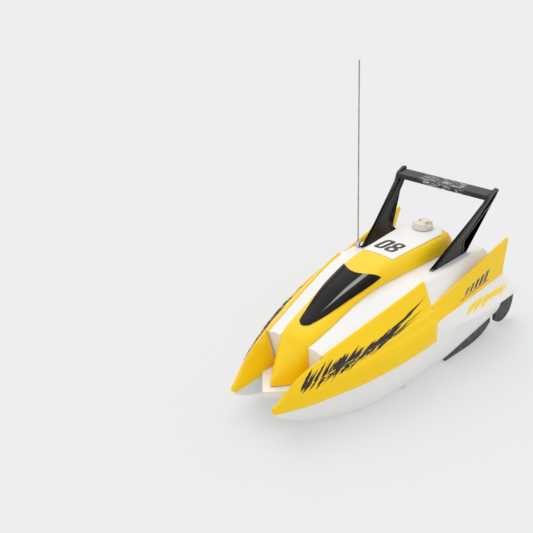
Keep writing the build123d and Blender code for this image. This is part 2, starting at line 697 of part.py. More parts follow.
with BuildPart() as port_coupling:
    add(drive_bar(coupling_y, COUPLING_DIAMETER / 2, COUPLING_LENGTH))
    add(drive_bar(coupling_y - 1, MOTOR_SHAFT / 2, coupling_grip + 1), mode=Mode.SUBTRACT)
    add(drive_bar(coupling_y + COUPLING_LENGTH - coupling_grip, PROP_SHAFT / 2, 20), mode=Mode.SUBTRACT)
    chamfer(port_coupling.edges().filter_by(GeomType.CIRCLE).filter_by(
        lambda edge: abs(edge.radius - COUPLING_DIAMETER / 2) < 0.01), 0.6)

with BuildPart() as port_prop_shaft:
    shaft_start = coupling_y + COUPLING_LENGTH - coupling_grip
    add(drive_bar(shaft_start, PROP_SHAFT / 2, prop_end + 2.2 - shaft_start))

with BuildPart() as port_stuffing_tube:
    add(drive_bar(tube_y, tube_radius, tube_end - tube_y))
    add(drive_bar(tube_y - 1, PROP_SHAFT / 2 + RUNNING_GAP, tube_end - tube_y + 2), mode=Mode.SUBTRACT)

with BuildPart() as port_propeller:
    add(drive_bar(prop_y, PROP_HUB / 2, PROP_WIDTH))
    for index in range(BLADES):
        radial = Vector(1, 0, 0).rotate(Axis.Y, index * 360 / BLADES + 20)
        chord = Vector(0, 1, 0).rotate(Axis((0, 0, 0), tuple(radial)), 52)
        middle = Vector(DRIVE, prop_y + PROP_WIDTH / 2, SHAFT_HEIGHT) + radial * (PROP_DIAMETER * 0.33)
        with BuildSketch(Plane(origin=middle, x_dir=radial, z_dir=radial.cross(chord))):
            Ellipse(PROP_DIAMETER * 0.17, PROP_WIDTH * 0.62)
        extrude(amount=0.45, both=True)
    add(drive_bar(prop_y - 3, PROP_SHAFT / 2, PROP_WIDTH + 6), mode=Mode.SUBTRACT)

with BuildPart() as port_prop_nut:
    with BuildSketch(Plane(origin=(DRIVE, prop_end, SHAFT_HEIGHT), z_dir=(0, 1, 0))):
        RegularPolygon(2.1, 6)
        Circle(PROP_SHAFT / 2, mode=Mode.SUBTRACT)
    extrude(amount=1.6)

with BuildPart() as port_motor_mount:
    add(block((DRIVE - 14, DRIVE + 14), (motor_y + 6, motor_y + 18), (0, SHAFT_HEIGHT + MOTOR_FLATS / 2 + 2)))
    add(hull_side_hollow, mode=Mode.INTERSECT)
    add(motor_shape.part, mode=Mode.SUBTRACT)

with BuildPart() as port_drive_cover:
    with BuildSketch(Plane.YZ.offset(across(27))):
        with BuildLine():
            belly = [(along(184), up(1.2)), (along(205), 0.5), (along(232), 0.7), (along(250), up(5.4)),
                     (along(257), up(10.2))]
            Spline(*belly)
            Polyline(belly[-1], (along(257), up(14)), (along(184), up(14)), belly[0])
        make_face()
    extrude(amount=across(57.6) - across(27))
    add(hull_side_form, mode=Mode.SUBTRACT)
    add(drive_bar(tube_y - 10, tube_radius, 120), mode=Mode.SUBTRACT)
    for x, y, z in COVER_SCREWS[:2]:
        add(round_bar((x, y, -1), (0, 0, 1), SCREW_SHANK / 2 + 0.1, 20), mode=Mode.SUBTRACT)
        add(round_bar((x, y, -1), (0, 0, 1), SCREW_HEAD / 2 + 0.2, z - COVER_SEAT + 1), mode=Mode.SUBTRACT)
port_drive_cover.part = port_drive_cover.part.solids().sort_by(SortBy.VOLUME)[-1]

# ---------------------------------------------------------------------------------------------
# Trim rudder on its bracket behind the transom
# ---------------------------------------------------------------------------------------------
rudder_front = TRANSOM + RUDDER_GAP
rudder_top = RUDDER_BASE + RUDDER_HEIGHT

with BuildPart() as port_rudder:
    with BuildSketch(Plane.YZ.offset(RUDDER - RUDDER_THICKNESS / 2)):
        with BuildLine():
            toe = (rudder_front, RUDDER_BASE + RUDDER_HEIGHT * 0.25)
            heel = (rudder_front + RUDDER_LENGTH * 0.84, RUDDER_BASE + RUDDER_HEIGHT * 0.22)
            tail = (rudder_front + RUDDER_LENGTH, rudder_top)
            ThreePointArc(toe, (rudder_front + RUDDER_LENGTH * 0.4, RUDDER_BASE), heel)
            ThreePointArc(heel, (rudder_front + RUDDER_LENGTH * 0.97, rudder_top - RUDDER_HEIGHT * 0.42), tail)
            Polyline(tail, (rudder_front, rudder_top), toe)
        make_face()
    extrude(amount=RUDDER_THICKNESS)
    add(round_bar((RUDDER, PINTLE_Y, rudder_top - 6), (0, 0, 1), PINTLE_DIAMETER / 2, 7), mode=Mode.SUBTRACT)

with BuildPart() as port_pintle:
    add(round_bar((RUDDER, PINTLE_Y, rudder_top - 6), (0, 0, 1), PINTLE_DIAMETER / 2,
                  BRACKET_Z + BRACKET_HEIGHT + 0.2 - rudder_top + 6))
    add(round_bar((RUDDER, PINTLE_Y, BRACKET_Z + BRACKET_HEIGHT + 0.2), (0, 0, 1), PINTLE_DIAMETER, 1.4))

with BuildPart() as port_rudder_bracket:
    add(block((RUDDER - BRACKET_WIDTH / 2, RUDDER + BRACKET_WIDTH / 2),
              (TRANSOM, PINTLE_Y), (BRACKET_Z, BRACKET_Z + BRACKET_HEIGHT)))
    add(block((RUDDER - BRACKET_REACH - 2.4, RUDDER + BRACKET_REACH + 2.4),
              (TRANSOM, TRANSOM + 1.8), (BRACKET_Z, BRACKET_Z + BRACKET_HEIGHT)))
    add(round_bar((RUDDER, PINTLE_Y, BRACKET_Z), (0, 0, 1), BRACKET_WIDTH / 2, BRACKET_HEIGHT))
    add(round_bar((RUDDER, PINTLE_Y, BRACKET_Z - 1), (0, 0, 1), PINTLE_DIAMETER / 2 + RUNNING_GAP,
                  BRACKET_HEIGHT + 2), mode=Mode.SUBTRACT)
    for x in (-BRACKET_REACH, BRACKET_REACH):
        add(round_bar((RUDDER + x, TRANSOM - 1, BRACKET_SCREW_Z), (0, 1, 0), SCREW_SHANK / 2 + 0.1, 4),
            mode=Mode.SUBTRACT)

DRIVE_PIECES = {
    "motor": port_motor, "motor_mount": port_motor_mount, "motor_shaft": port_motor_shaft,
    "coupling": port_coupling, "prop_shaft": port_prop_shaft, "stuffing_tube": port_stuffing_tube,
    "propeller": port_propeller, "prop_nut": port_prop_nut, "drive_cover": port_drive_cover,
    "rudder": port_rudder, "rudder_pintle": port_pintle, "rudder_bracket": port_rudder_bracket,
}
for name, piece in DRIVE_PIECES.items():
    save(piece, "port_" + name)
    save(mirrored(piece.part), "starboard_" + name)

# ---------------------------------------------------------------------------------------------
# Battery, receiver, switch and wires
# ---------------------------------------------------------------------------------------------
battery_y = along(BATTERY_FRONT)
battery_length = 2 * CELL_LENGTH + 2 * WRAP
battery_radius = CELL_DIAMETER / 2 + WRAP
tray_z = floor_z + 1.2
battery_z = tray_z + battery_radius

with BuildPart() as battery_pack:
    with BuildSketch(Plane(origin=(0, battery_y, battery_z), x_dir=(1, 0, 0), z_dir=(0, 1, 0))):
        SlotCenterToCenter(CELL_DIAMETER, 2 * battery_radius)
    extrude(amount=battery_length)

tray_half = CELL_DIAMETER / 2 + battery_radius + 0.2
with BuildPart() as battery_tray:
    add(block((-tray_half - 1.2, tray_half + 1.2), (battery_y - 1.5, battery_y + battery_length + 1.5),
              (floor_z, tray_z + 5)))
    add(block((-tray_half, tray_half), (battery_y - 0.2, battery_y + battery_length + 0.2),
              (tray_z, tray_z + 6)), mode=Mode.SUBTRACT)

board_y = along(BOARD_FRONT)
board_z = floor_z + STANDOFF
with BuildPart() as receiver_board:
    add(block((-BOARD_WIDTH / 2, BOARD_WIDTH / 2), (board_y, board_y + BOARD_LENGTH),
              (board_z, board_z + BOARD_THICK)))
    for x in (-BOARD_WIDTH / 2 + 3, BOARD_WIDTH / 2 - 3):
        for y in (board_y + 3, board_y + BOARD_LENGTH - 3):
            add(round_bar((x, y, board_z - 1), (0, 0, 1), SCREW_SHANK / 2 + 0.1, 4), mode=Mode.SUBTRACT)

chip_z = board_z + BOARD_THICK
with BuildPart() as receiver_chips:
    add(block((-9, 9), (board_y + 12, board_y + 19), (chip_z, chip_z + 3)))
    add(block((-12, -7), (board_y + 24, board_y + 30), (chip_z, chip_z + 6)))
    add(block((-4, 1), (board_y + 24, board_y + 30), (chip_z, chip_z + 6)))

with BuildPart() as receiver_crystal:
    add(block((4, 14), (board_y + 23, board_y + 27), (chip_z, chip_z + 8)))
    fillet(receiver_crystal.edges().filter_by(Axis.Z), 1.5)

with BuildPart() as receiver_coils:
    for x, y in ((-11.5, 9), (12.5, 16)):
        add(round_bar((x, board_y + y, chip_z), (0, 0, 1), 2.4, 7))

with BuildPart() as board_screws:
    for x in (-BOARD_WIDTH / 2 + 3, BOARD_WIDTH / 2 - 3):
        for y in (board_y + 3, board_y + BOARD_LENGTH - 3):
            add(screw(4.2).moved(Location((x, y, chip_z), (180, 0, 0))))

switch_z = up(57)
switch_y = TRANSOM - WALL - 1.0
with BuildPart() as switch_housing:
    add(block((-SWITCH_WIDE / 2, SWITCH_WIDE / 2), (switch_y - 5, switch_y),
              (switch_z - SWITCH_HIGH / 2, switch_z + SWITCH_HIGH / 2)))
    add(block((-SWITCH_TRAVEL - 0.3, SWITCH_TRAVEL + 0.3), (switch_y - 2.4, switch_y + 1),
              (switch_z - 1.8, switch_z + 1.8)), mode=Mode.SUBTRACT)

with BuildPart() as switch_slider:
    slider_x = -SWITCH_TRAVEL / 2
    add(block((slider_x - 2, slider_x + 2), (switch_y - 2.3, TRANSOM + 1.6), (switch_z - 1.4, switch_z + 1.4)))

with BuildPart() as water_contacts:
    for x, y in CONTACTS:
        add(round_bar((x, y, 0.3), (0, 0, 1), 1.2, WALL + 0.05 - 0.3))
        add(round_bar((x, y, WALL + 0.05), (0, 0, 1), 2.4, 1.2))

with BuildPart() as deck_screws:
    for x, y, z in DECK_SCREWS:
        add(screw(12).moved(Location((x, y, z - 6))))

with BuildPart() as drive_cover_screws:
    for x, y, z in COVER_SCREWS:
        add(screw(COVER_SEAT + 3.5).moved(Location((x, y, z - COVER_SEAT))))

with BuildPart() as bracket_screws:
    for x in (-RUDDER - BRACKET_REACH, -RUDDER + BRACKET_REACH, RUDDER - BRACKET_REACH, RUDDER + BRACKET_REACH):
        add(screw(5.5).moved(Location((x, TRANSOM + 1.8, BRACKET_SCREW_Z), (90, 0, 0))))

# wires: chosen routes, held by the pieces that they join
edge_z = board_z + BOARD_THICK / 2
side_x = BOARD_WIDTH / 2
with BuildPart() as port_motor_leads:
    for offset in (-4, 4):
        add(wire_run([(DRIVE + offset, motor_y, SHAFT_HEIGHT), (DRIVE + offset, motor_y - 16, SHAFT_HEIGHT),
                      (side_x + 14, board_y + 20 - offset, edge_z), (side_x, board_y + 20 - offset, edge_z)], 6))

with BuildPart() as battery_leads:
    for x in (-4, 4):
        add(wire_run([(x, battery_y, battery_z), (x, battery_y - 4, battery_z), (x, battery_y - 4, edge_z),
                      (x, board_y + BOARD_LENGTH, edge_z)], 1.6))

with BuildPart() as switch_leads:
    for x in (-5, 5):
        add(wire_run([(x, switch_y - 5, switch_z), (x, switch_y - 20, switch_z),
                      (x, battery_y + battery_length + 12, battery_z),
                      (x, battery_y + battery_length, battery_z)], 7))

with BuildPart() as aerial_lead:
    add(wire_run([(-side_x, board_y + 12, edge_z), (-side_x - 12, board_y + 12, edge_z),
                  (-across(36), along(140), up(48)), (-AERIAL_X, aerial_y - 6, up(66)),
                  (-AERIAL_X, aerial_y, up(74)), (-AERIAL_X, aerial_y, DECK_HEIGHT - 4)], 5))

for name, piece in {
        "battery_pack": battery_pack, "battery_tray": battery_tray, "receiver_board": receiver_board,
        "receiver_chips": receiver_chips, "receiver_crystal": receiver_crystal,
        "receiver_coils": receiver_coils, "board_screws": board_screws,
        "switch_housing": switch_housing, "switch_slider": switch_slider,
        "water_contacts": water_contacts, "deck_screws": deck_screws,
        "drive_cover_screws": drive_cover_screws, "bracket_screws": bracket_screws,
        "port_motor_leads": port_motor_leads, "battery_leads": battery_leads,
        "switch_leads": switch_leads, "aerial_lead": aerial_lead}.items():
    save(piece, name)
save(mirrored(port_motor_leads.part), "starboard_motor_leads")
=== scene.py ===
# %% [markdown]
# # A toy racing catamaran, seen piece by piece
# The engineering model gives this scene its frame: every body, joint and size is already right there.
# What is left for Blender is how the boat looks. Its large pieces are moulded shells with soft, flowing
# surfaces, so they are modelled again here as smooth lofts. Its screws and propellers are copied by node
# trees. Its other small parts have the right shape already and only need good materials.

# %% Load the frame
import bpy
import bmesh
import math
import random
import numpy as np
from mathutils import Matrix, Vector


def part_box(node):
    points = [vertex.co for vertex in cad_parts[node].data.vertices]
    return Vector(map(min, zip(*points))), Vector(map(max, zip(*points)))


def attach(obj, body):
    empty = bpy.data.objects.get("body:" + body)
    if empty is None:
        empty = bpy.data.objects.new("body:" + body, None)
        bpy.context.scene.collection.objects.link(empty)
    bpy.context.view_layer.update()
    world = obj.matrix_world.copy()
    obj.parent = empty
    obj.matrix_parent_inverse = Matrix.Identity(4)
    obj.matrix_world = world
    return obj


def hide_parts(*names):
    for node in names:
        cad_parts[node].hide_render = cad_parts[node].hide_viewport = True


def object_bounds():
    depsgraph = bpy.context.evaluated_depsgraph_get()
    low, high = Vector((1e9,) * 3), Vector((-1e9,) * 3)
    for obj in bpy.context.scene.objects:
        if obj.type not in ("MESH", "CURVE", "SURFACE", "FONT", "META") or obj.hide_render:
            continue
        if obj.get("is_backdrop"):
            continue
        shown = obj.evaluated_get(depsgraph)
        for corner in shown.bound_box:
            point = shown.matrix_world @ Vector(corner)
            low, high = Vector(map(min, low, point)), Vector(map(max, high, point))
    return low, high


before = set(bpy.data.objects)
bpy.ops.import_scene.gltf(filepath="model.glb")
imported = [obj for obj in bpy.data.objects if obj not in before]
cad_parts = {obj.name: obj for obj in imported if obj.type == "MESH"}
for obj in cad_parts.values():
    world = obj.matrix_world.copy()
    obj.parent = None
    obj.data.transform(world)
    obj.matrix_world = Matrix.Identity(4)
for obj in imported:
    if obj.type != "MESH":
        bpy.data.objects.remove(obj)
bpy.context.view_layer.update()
MM = 0.001

# %% [markdown]
# ## Measures taken from the frame
# A boat is drawn by its lines: how far out and how high each edge runs at every station from bow to
# stern. The drawing scale comes from the hull and deck nodes, so the lines follow the frame's size.
# Stations count millimetres aft of the bow tips, and the hull shell runs from station 3 to 264.

# %% Drawing scale and the lines of the port side
hull_low, hull_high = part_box("hull_lower")
deck_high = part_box("deck_upper")[1]
STEP = (hull_high[1] - hull_low[1]) / 261
TRANSOM = hull_high[1]
SIDE = deck_high[0] / 79
RISE = deck_high[2] / 85

BILGE = [(3, 23.4, 22), (20, 28.5, 12), (40, 34.5, 4.5), (60, 43.5, 2.2), (84, 51, 0.8), (110, 54.5, 0),
         (172, 57, 0), (200, 58, 4), (264, 57, 12)]
SHEER = [(3, 24.5, 26), (20, 33, 26.5), (34, 39.5, 28), (50, 46, 30), (75, 55, 33), (110, 64, 38),
         (147, 69.5, 43.5), (165, 71, 46.5), (200, 77, 46.5), (232, 79, 46.5), (264, 78.5, 46.5)]
HULL_TOP = [(3, 24.5, 26), (20, 33, 26.5), (34, 39.5, 28), (50, 46, 30), (75, 55, 33), (110, 64, 38),
            (147, 69.5, 43.5), (165, 70.5, 46.5), (200, 70, 46.5), (232, 69, 46.5), (264, 66, 46.5)]
SHOULDER = [(3, 24.2, 29), (20, 32, 36), (34, 38.5, 39.5), (50, 45, 43), (75, 54, 47), (110, 63, 51.5),
            (147, 68, 56), (200, 66, 58.5), (264, 62, 61.5)]
DECK_EDGE = [(3, 23.2, 31.5), (20, 25.5, 46), (34, 28, 53), (50, 31, 57.5), (75, 35, 64), (110, 40.5, 73),
             (147, 45.5, 82), (165, 46.5, 85), (264, 46, 85)]
CROWN = [(34, 22, 53.4), (50, 22, 60), (75, 22, 68.5), (110, 22, 79.5), (147, 22, 84.5), (165, 22, 85),
         (264, 22, 85)]
INNER = 22
TUNNEL_TOP = 24


def slopes(steps, rises):
    """Slope at each point of a line, flat at turning points, so that the curve never overshoots."""
    secant = rises / steps
    middle = [0 if a * b <= 0 else 2 / (1 / a + 1 / b) for a, b in zip(secant, secant[1:])]
    return np.array([secant[0], *middle, secant[-1]])


def read(line, station):
    """Values of a line of (station, value, ...) rows at a station, on a smooth curve."""
    table = np.array(line, dtype=float)
    s = np.clip(station, table[0, 0], table[-1, 0])
    k = min(np.searchsorted(table[:, 0], s, side="right") - 1, len(table) - 2)
    steps = np.diff(table[:, 0])
    t = (s - table[k, 0]) / steps[k]
    values = []
    for column in table.T[1:]:
        m = slopes(steps, np.diff(column))
        values.append((2 * t**3 - 3 * t**2 + 1) * column[k] + (t**3 - 2 * t**2 + t) * steps[k] * m[k]
                      + (3 * t**2 - 2 * t**3) * column[k + 1] + (t**3 - t**2) * steps[k] * m[k + 1])
    return values


def place(x, station, z):
    """A drawn point in the frame, in metres."""
    return (x * SIDE, TRANSOM - (264 - station) * STEP, z * RISE)


print("transom at", round(TRANSOM, 4), "station step", round(STEP, 5))

# %% [markdown]
# ## Tools for smooth shells
# Each shell is a loft: the same outline is drawn at many stations and neighbours are joined by quads.
# Corners of an outline are rounded with short curves that have the same number of points at each
# station, so the grid stays regular and highlights run cleanly along the boat. Solidify then gives the
# sheet its moulded wall, and a narrow bevel softens the rims, as a mould parting line would.

# %% Loft, prism and finishing helpers
def rounded(corners, radii, steps=4):
    """Polyline with its inner corners rounded, always with the same number of points."""
    points = [np.array(p, dtype=float) for p in corners]
    out = [points[0]]
    for before, corner, after, radius in zip(points, points[1:], points[2:], radii):
        reach_a = min(radius, 0.45 * np.linalg.norm(before - corner))
        reach_b = min(radius, 0.45 * np.linalg.norm(after - corner))
        start = corner + (before - corner) * reach_a / max(np.linalg.norm(before - corner), 1e-9)
        end = corner + (after - corner) * reach_b / max(np.linalg.norm(after - corner), 1e-9)
        for t in np.linspace(0, 1, steps + 1):
            out.append((1 - t)**2 * start + 2 * t * (1 - t) * corner + t**2 * end)
    out.append(points[-1])
    return out


def spaced(first, last, gap):
    """Stations from first to last, about gap apart."""
    return np.linspace(first, last, int(round((last - first) / gap)) + 1)


def new_mesh(name, points, faces):
    """Mesh object from points in metres and faces as lists of indices."""
    mesh = bpy.data.meshes.new(name)
    mesh.from_pydata([tuple(p) for p in points], [], faces)
    mesh.validate()
    piece = bpy.data.objects.new(name, mesh)
    bpy.context.collection.objects.link(piece)
    return piece


def grid(rows, wrap=False, first_cap=False, last_cap=False):
    """Points and quads of a loft through rows of points; wrap joins each row's ends."""
    count = len(rows[0])
    points = [p for row in rows for p in row]
    faces = []
    span = count if wrap else count - 1
    for r in range(len(rows) - 1):
        for c in range(span):
            a = r * count + c
            b = r * count + (c + 1) % count
            faces.append([a, b, b + count, a + count])
    if first_cap:
        faces.append(list(range(count))[::-1])
    if last_cap:
        faces.append([(len(rows) - 1) * count + c for c in range(count)])
    return points, faces


def mirrored(points, faces):
    """The starboard twin of port geometry."""
    return [(-x, y, z) for x, y, z in points], [face[::-1] for face in faces]


def joined(*shapes):
    """Several (points, faces) shapes as one."""
    points, faces = [], []
    for more_points, more_faces in shapes:
        start = len(points)
        points += list(more_points)
        faces += [[i + start for i in face] for face in more_faces]
    return points, faces


def prism(outline, low, high, axis="z"):
    """Straight block: an outline in metres, pushed from low to high along an axis."""
    def lift(point, depth):
        a, b = point
        return {"z": (a, b, depth), "x": (depth, a, b)}[axis]
    points = [lift(p, low) for p in outline] + [lift(p, high) for p in outline]
    n = len(outline)
    faces = [[i, (i + 1) % n, n + (i + 1) % n, n + i] for i in range(n)]
    return points, faces + [list(range(n))[::-1], list(range(n, 2 * n))]


def outward(piece):
    """Merge doubles and turn the faces of a closed shape outwards."""
    bm = bmesh.new()
    bm.from_mesh(piece.data)
    bmesh.ops.remove_doubles(bm, verts=bm.verts, dist=1e-6)
    bmesh.ops.recalc_face_normals(bm, faces=bm.faces)
    bm.to_mesh(piece.data)
    bm.free()


def finish(piece, material, body, replaced=(), bevel=0.0, sharp=32):
    """Bevel, smooth shading and material for a piece that rides on a body."""
    piece.data.materials.clear()
    piece.data.materials.append(material)
    piece.data.shade_smooth()
    piece.data.set_sharp_from_angle(angle=math.radians(sharp))
    if bevel:
        edge = piece.modifiers.new("soft edge", "BEVEL")
        edge.width = bevel
        edge.segments = 2
        edge.limit_method = "ANGLE"
        edge.angle_limit = math.radians(38)
        edge.harden_normals = True
    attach(piece, body)
    if replaced:
        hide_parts(*replaced)
    print(piece.name, len(piece.data.polygons), "faces")
    return piece


# %% [markdown]
# ## The lower hull
# On the toy this is one white moulding: two narrow hulls, a flat tunnel roof between them, and a transom.
# It could be sculpted, but a loft through the hull lines keeps it true to the frame. Each row runs
# from the port sheer down round the bilge, up the tunnel wall and across to starboard.

# %% Hull rows
def hull_corners(station, wall_top):
    """Corners of one hull section, from the sheer down and round to the tunnel wall."""
    bilge_x, bilge_z = read(BILGE, station)
    top_x, top_z = read(HULL_TOP, station)
    high = top_z - bilge_z
    wide = bilge_x - INNER
    return [(top_x, top_z), (bilge_x + 0.72 * (top_x - bilge_x), bilge_z + 0.45 * high),
            (bilge_x + 0.03 * high, bilge_z + 0.12 * high), (bilge_x - 0.12 * wide, bilge_z),
            (INNER + 0.22 * wide, bilge_z), (INNER, bilge_z + 0.3 * high), (INNER, wall_top)]


HULL_RADII = (14, 8, 6, 4, 4)


def hull_half(station, wall_top):
    """One rounded half row of the hull in millimetres."""
    return [tuple(p) for p in rounded(hull_corners(station, wall_top), HULL_RADII, 5)]


def hull_front_rows(stations):
    rows = []
    for s in stations:
        half = hull_half(s, TUNNEL_TOP)
        half.append((INNER, read(HULL_TOP, s)[1]))
        rows.append([place(x, s, z) for x, z in half])
    return rows


def hull_main_rows(stations):
    rows = []
    for s in stations:
        half = hull_half(s, TUNNEL_TOP)
        whole = half + [(0, TUNNEL_TOP)] + [(-x, z) for x, z in half[::-1]]
        rows.append([place(x, s, z) for x, z in whole])
    return rows


PROW = 12
PROW_FLAT = PROW + INNER


def prow_walls(tip, low, high):
    """V-shaped wall of the prow, from one height to another, open behind."""
    plan = [(INNER, PROW_FLAT), (0, tip), (-INNER, PROW_FLAT)]
    points = [place(x, s, low) for x, s in plan] + [place(x, s, high) for x, s in plan]
    return points, [[0, 1, 4, 3], [1, 2, 5, 4]]


front = grid(hull_front_rows(spaced(3, PROW_FLAT, 1.5)), first_cap=True)
main = grid(hull_main_rows(spaced(PROW_FLAT, 264, 3.5)), last_cap=True)
ceiling_points = [place(0, PROW + 1.2, TUNNEL_TOP), place(INNER, PROW_FLAT, TUNNEL_TOP),
                  place(0, PROW_FLAT, TUNNEL_TOP), place(-INNER, PROW_FLAT, TUNNEL_TOP)]
ceiling = (ceiling_points, [[0, 1, 2], [0, 2, 3]])
hull = new_mesh("hull_shell", *joined(front, mirrored(*front), main, ceiling,
                                      prow_walls(PROW + 1.2, TUNNEL_TOP, 28)))
outward(hull)
print("hull rows made,", len(hull.data.vertices), "points")

# %% [markdown]
# ## The deck moulding
# The white upper moulding carries the arch, the hatch and the stern flares. Its section starts under
# the flare, turns over the flare's edge to the shoulder, climbs to the deck edge and runs level over
# the crown. Ahead of the main deck it splits in two sponsons, with a chevron-shaped prow between them.

# %% Deck rows
RIDGE_END = 49
CHAMFER = [(254, 85), (264, 68)]
PROW_TOP = 30.5


def deck_corners(station):
    """Corners of the port half of the deck section, from under the flare to the crown's edge."""
    corners = [read(line, station) for line in (HULL_TOP, SHEER, SHOULDER, DECK_EDGE)]
    corners.append([INNER, read(CROWN, station)[1]])
    limit = read(CHAMFER, station)[0] if station > 254 else 999
    if limit < corners[3][1]:
        (low_x, low_z), (high_x, high_z) = corners[2], corners[3]
        corners[3] = [low_x + (high_x - low_x) * (limit - low_z) / (high_z - low_z), limit]
        corners[4] = [INNER, limit]
    return corners


def deck_front_rows(stations):
    """Sponson ahead of the bulkhead: its sides meet in a ridge, and the inner side falls to the prow."""
    rows = []
    for s in stations:
        sheer_z = read(SHEER, s)[1]
        low, sheer, shoulder, (edge_x, edge_z) = deck_corners(s)[:4]
        ridge = [edge_x - 0.3, edge_z - 1.2]
        corners = [low, sheer, shoulder, ridge, [INNER, sheer_z + 2], [INNER, sheer_z]]
        rows.append([place(x, s, z) for x, z in rounded(corners, (1.0, 4, 3.4, 1.0))])
    return rows


def deck_main_rows(stations):
    rows = []
    for s in stations:
        half = rounded(deck_corners(s), (1.0, 2.6, 2.4))
        whole = half + [(0, half[-1][1])] + [(-x, z) for x, z in half[::-1]]
        rows.append([place(x, s, z) for x, z in whole])
    return rows


def flare_tip_row(t):
    """Section of the stern tip of a flare, from the transom (0) to its end (1)."""
    start = [(60, 46.5), (78.5, 46.5), (62.06, 61.45)]
    end = [(74.5, 44.6), (76.5, 44.6), (74.9, 46)]
    s = 263.5 + 19.5 * t
    points = [((1 - t) * a[0] + t * b[0], (1 - t) * a[1] + t * b[1]) for a, b in zip(start, end)]
    return [place(x, s, z) for x, z in points]


def prow_block(tip, low, high, rear):
    """Closed chevron block of the prow."""
    side = INNER + 0.4
    plan = [(0, tip), (side, PROW_FLAT), (side, rear), (-side, rear), (-side, PROW_FLAT)]
    outline = [place(x, s, 0)[:2] for x, s in plan]
    return prism(outline, low * RISE, high * RISE)


deck_front = grid(deck_front_rows(spaced(3, 50, 1.5)), first_cap=True, last_cap=True)
deck_stations = list(spaced(50, 254, 3)) + list(spaced(255, 264, 1.5))
deck_main = grid(deck_main_rows(deck_stations), first_cap=True, last_cap=True)
flare_tip = grid([flare_tip_row(t) for t in np.linspace(0, 1, 8)], wrap=True, first_cap=True, last_cap=True)
prow = prow_block(PROW, 26.6, PROW_TOP, 50)
print("deck rows:", len(deck_stations), "main stations")

# %% [markdown]
# A shell gets its wall while it is still one open sheet. After that, closed pieces can join it and
# openings can be cut through it. The cuts are boolean tools, which leave clean edges for the bevel.

# %% Walls, joined blocks and cuts
def thicken(piece, thickness):
    """Give an open sheet its wall, on the inner side, as plain mesh."""
    shell = piece.modifiers.new("wall", "SOLIDIFY")
    shell.thickness = thickness
    shell.offset = -1
    shell.thickness_clamp = 2.0
    shell.use_thickness_angle_clamp = True
    bake_modifiers(piece)


def bake_modifiers(piece):
    """Replace the mesh by what its modifiers make of it."""
    made = bpy.data.meshes.new_from_object(piece.evaluated_get(bpy.context.evaluated_depsgraph_get()))
    piece.modifiers.clear()
    piece.data = made


def cut(piece, shapes):
    """Cut closed shapes out of a piece."""
    for points, faces in shapes:
        tool = new_mesh("cutting_tool", points, faces)
        outward(tool)
        step = piece.modifiers.new("cut", "BOOLEAN")
        step.operation = "DIFFERENCE"
        step.solver = "EXACT"
        step.object = tool
        bpy.context.view_layer.update()
        bake_modifiers(piece)
        bpy.data.objects.remove(tool)


def add_shapes(piece, *shapes):
    """Join closed shapes to a piece's mesh."""
    extra = new_mesh("extra", *joined(*shapes))
    outward(extra)
    bm = bmesh.new()
    bm.from_mesh(piece.data)
    bm.from_mesh(extra.data)
    bm.to_mesh(piece.data)
    bm.free()
    bpy.data.objects.remove(extra)


def disc(x, y, radius, sides=24):
    """Round outline about a point, in metres."""
    return [(x + radius * math.cos(a), y + radius * math.sin(a))
            for a in np.linspace(0, 2 * math.pi, sides, endpoint=False)]


def slab(x_range, station_range, z_range):
    """Box given by breadths, stations and heights in millimetres."""
    plan = [(x_range[0], station_range[0]), (x_range[1], station_range[0]),
            (x_range[1], station_range[1]), (x_range[0], station_range[1])]
    return prism([place(x, s, 0)[:2] for x, s in plan], z_range[0] * RISE, z_range[1] * RISE)


thicken(hull, 1.2 * MM)
DECK_SCREWS = [(side * x, s) for side in (1, -1) for x, s in ((32, 60), (52, 127), (52, 222))]
wells = [prism(disc(*place(x, s, 0)[:2], 2.4 * MM), -2 * MM, 12 * MM) for x, s in DECK_SCREWS]
cut(hull, wells)

deck = new_mesh("deck_shell", *deck_main)
outward(deck)
thicken(deck, 1.4 * MM)
openings = [slab((-17, 17), (98, 214), (70, 90)), slab((-4.5, 4.5), (259, 268), (54.8, 59.2)),
            slab((-2.7, 2.7), (217, 231), (80, 90))]
cut(deck, openings)
add_shapes(deck, prow, deck_front, mirrored(*deck_front), flare_tip, mirrored(*flare_tip))
print("hull", len(hull.data.polygons), "deck", len(deck.data.polygons), "faces")


# %% [markdown]
# ## The two coloured covers
# Each bow wears a yellow clip-on cover. It has lengthwise steps that fade out towards the tip and a
# slanted rear edge. Its surface is written as one function of station and girth, so that the printed
# slashes can later lie on exactly the same surface.

# %% The cover's surface
COVER_SKIN = 1.6
COVER_REAR = [(38, 146.5), (50, 147.5), (90, 163)]
COVER_TIP = [(23.2, 26.4), (23.2, 28.0), (22.7, 29.4), (21.9, 29.2), (21.7, 26.8)]


def smooth(low, high, value):
    """0 below low, 1 above high, an S-shaped ramp between."""
    t = min(1, max(0, (value - low) / (high - low)))
    return t * t * (3 - 2 * t)


def resample(points, shares):
    """Points at the given shares of a polyline's length."""
    points = np.array(points)
    reach = np.concatenate([[0], np.cumsum(np.linalg.norm(np.diff(points, axis=0), axis=1))])
    return np.array([[np.interp(t * reach[-1], reach, points[:, k]) for k in (0, 1)] for t in shares])


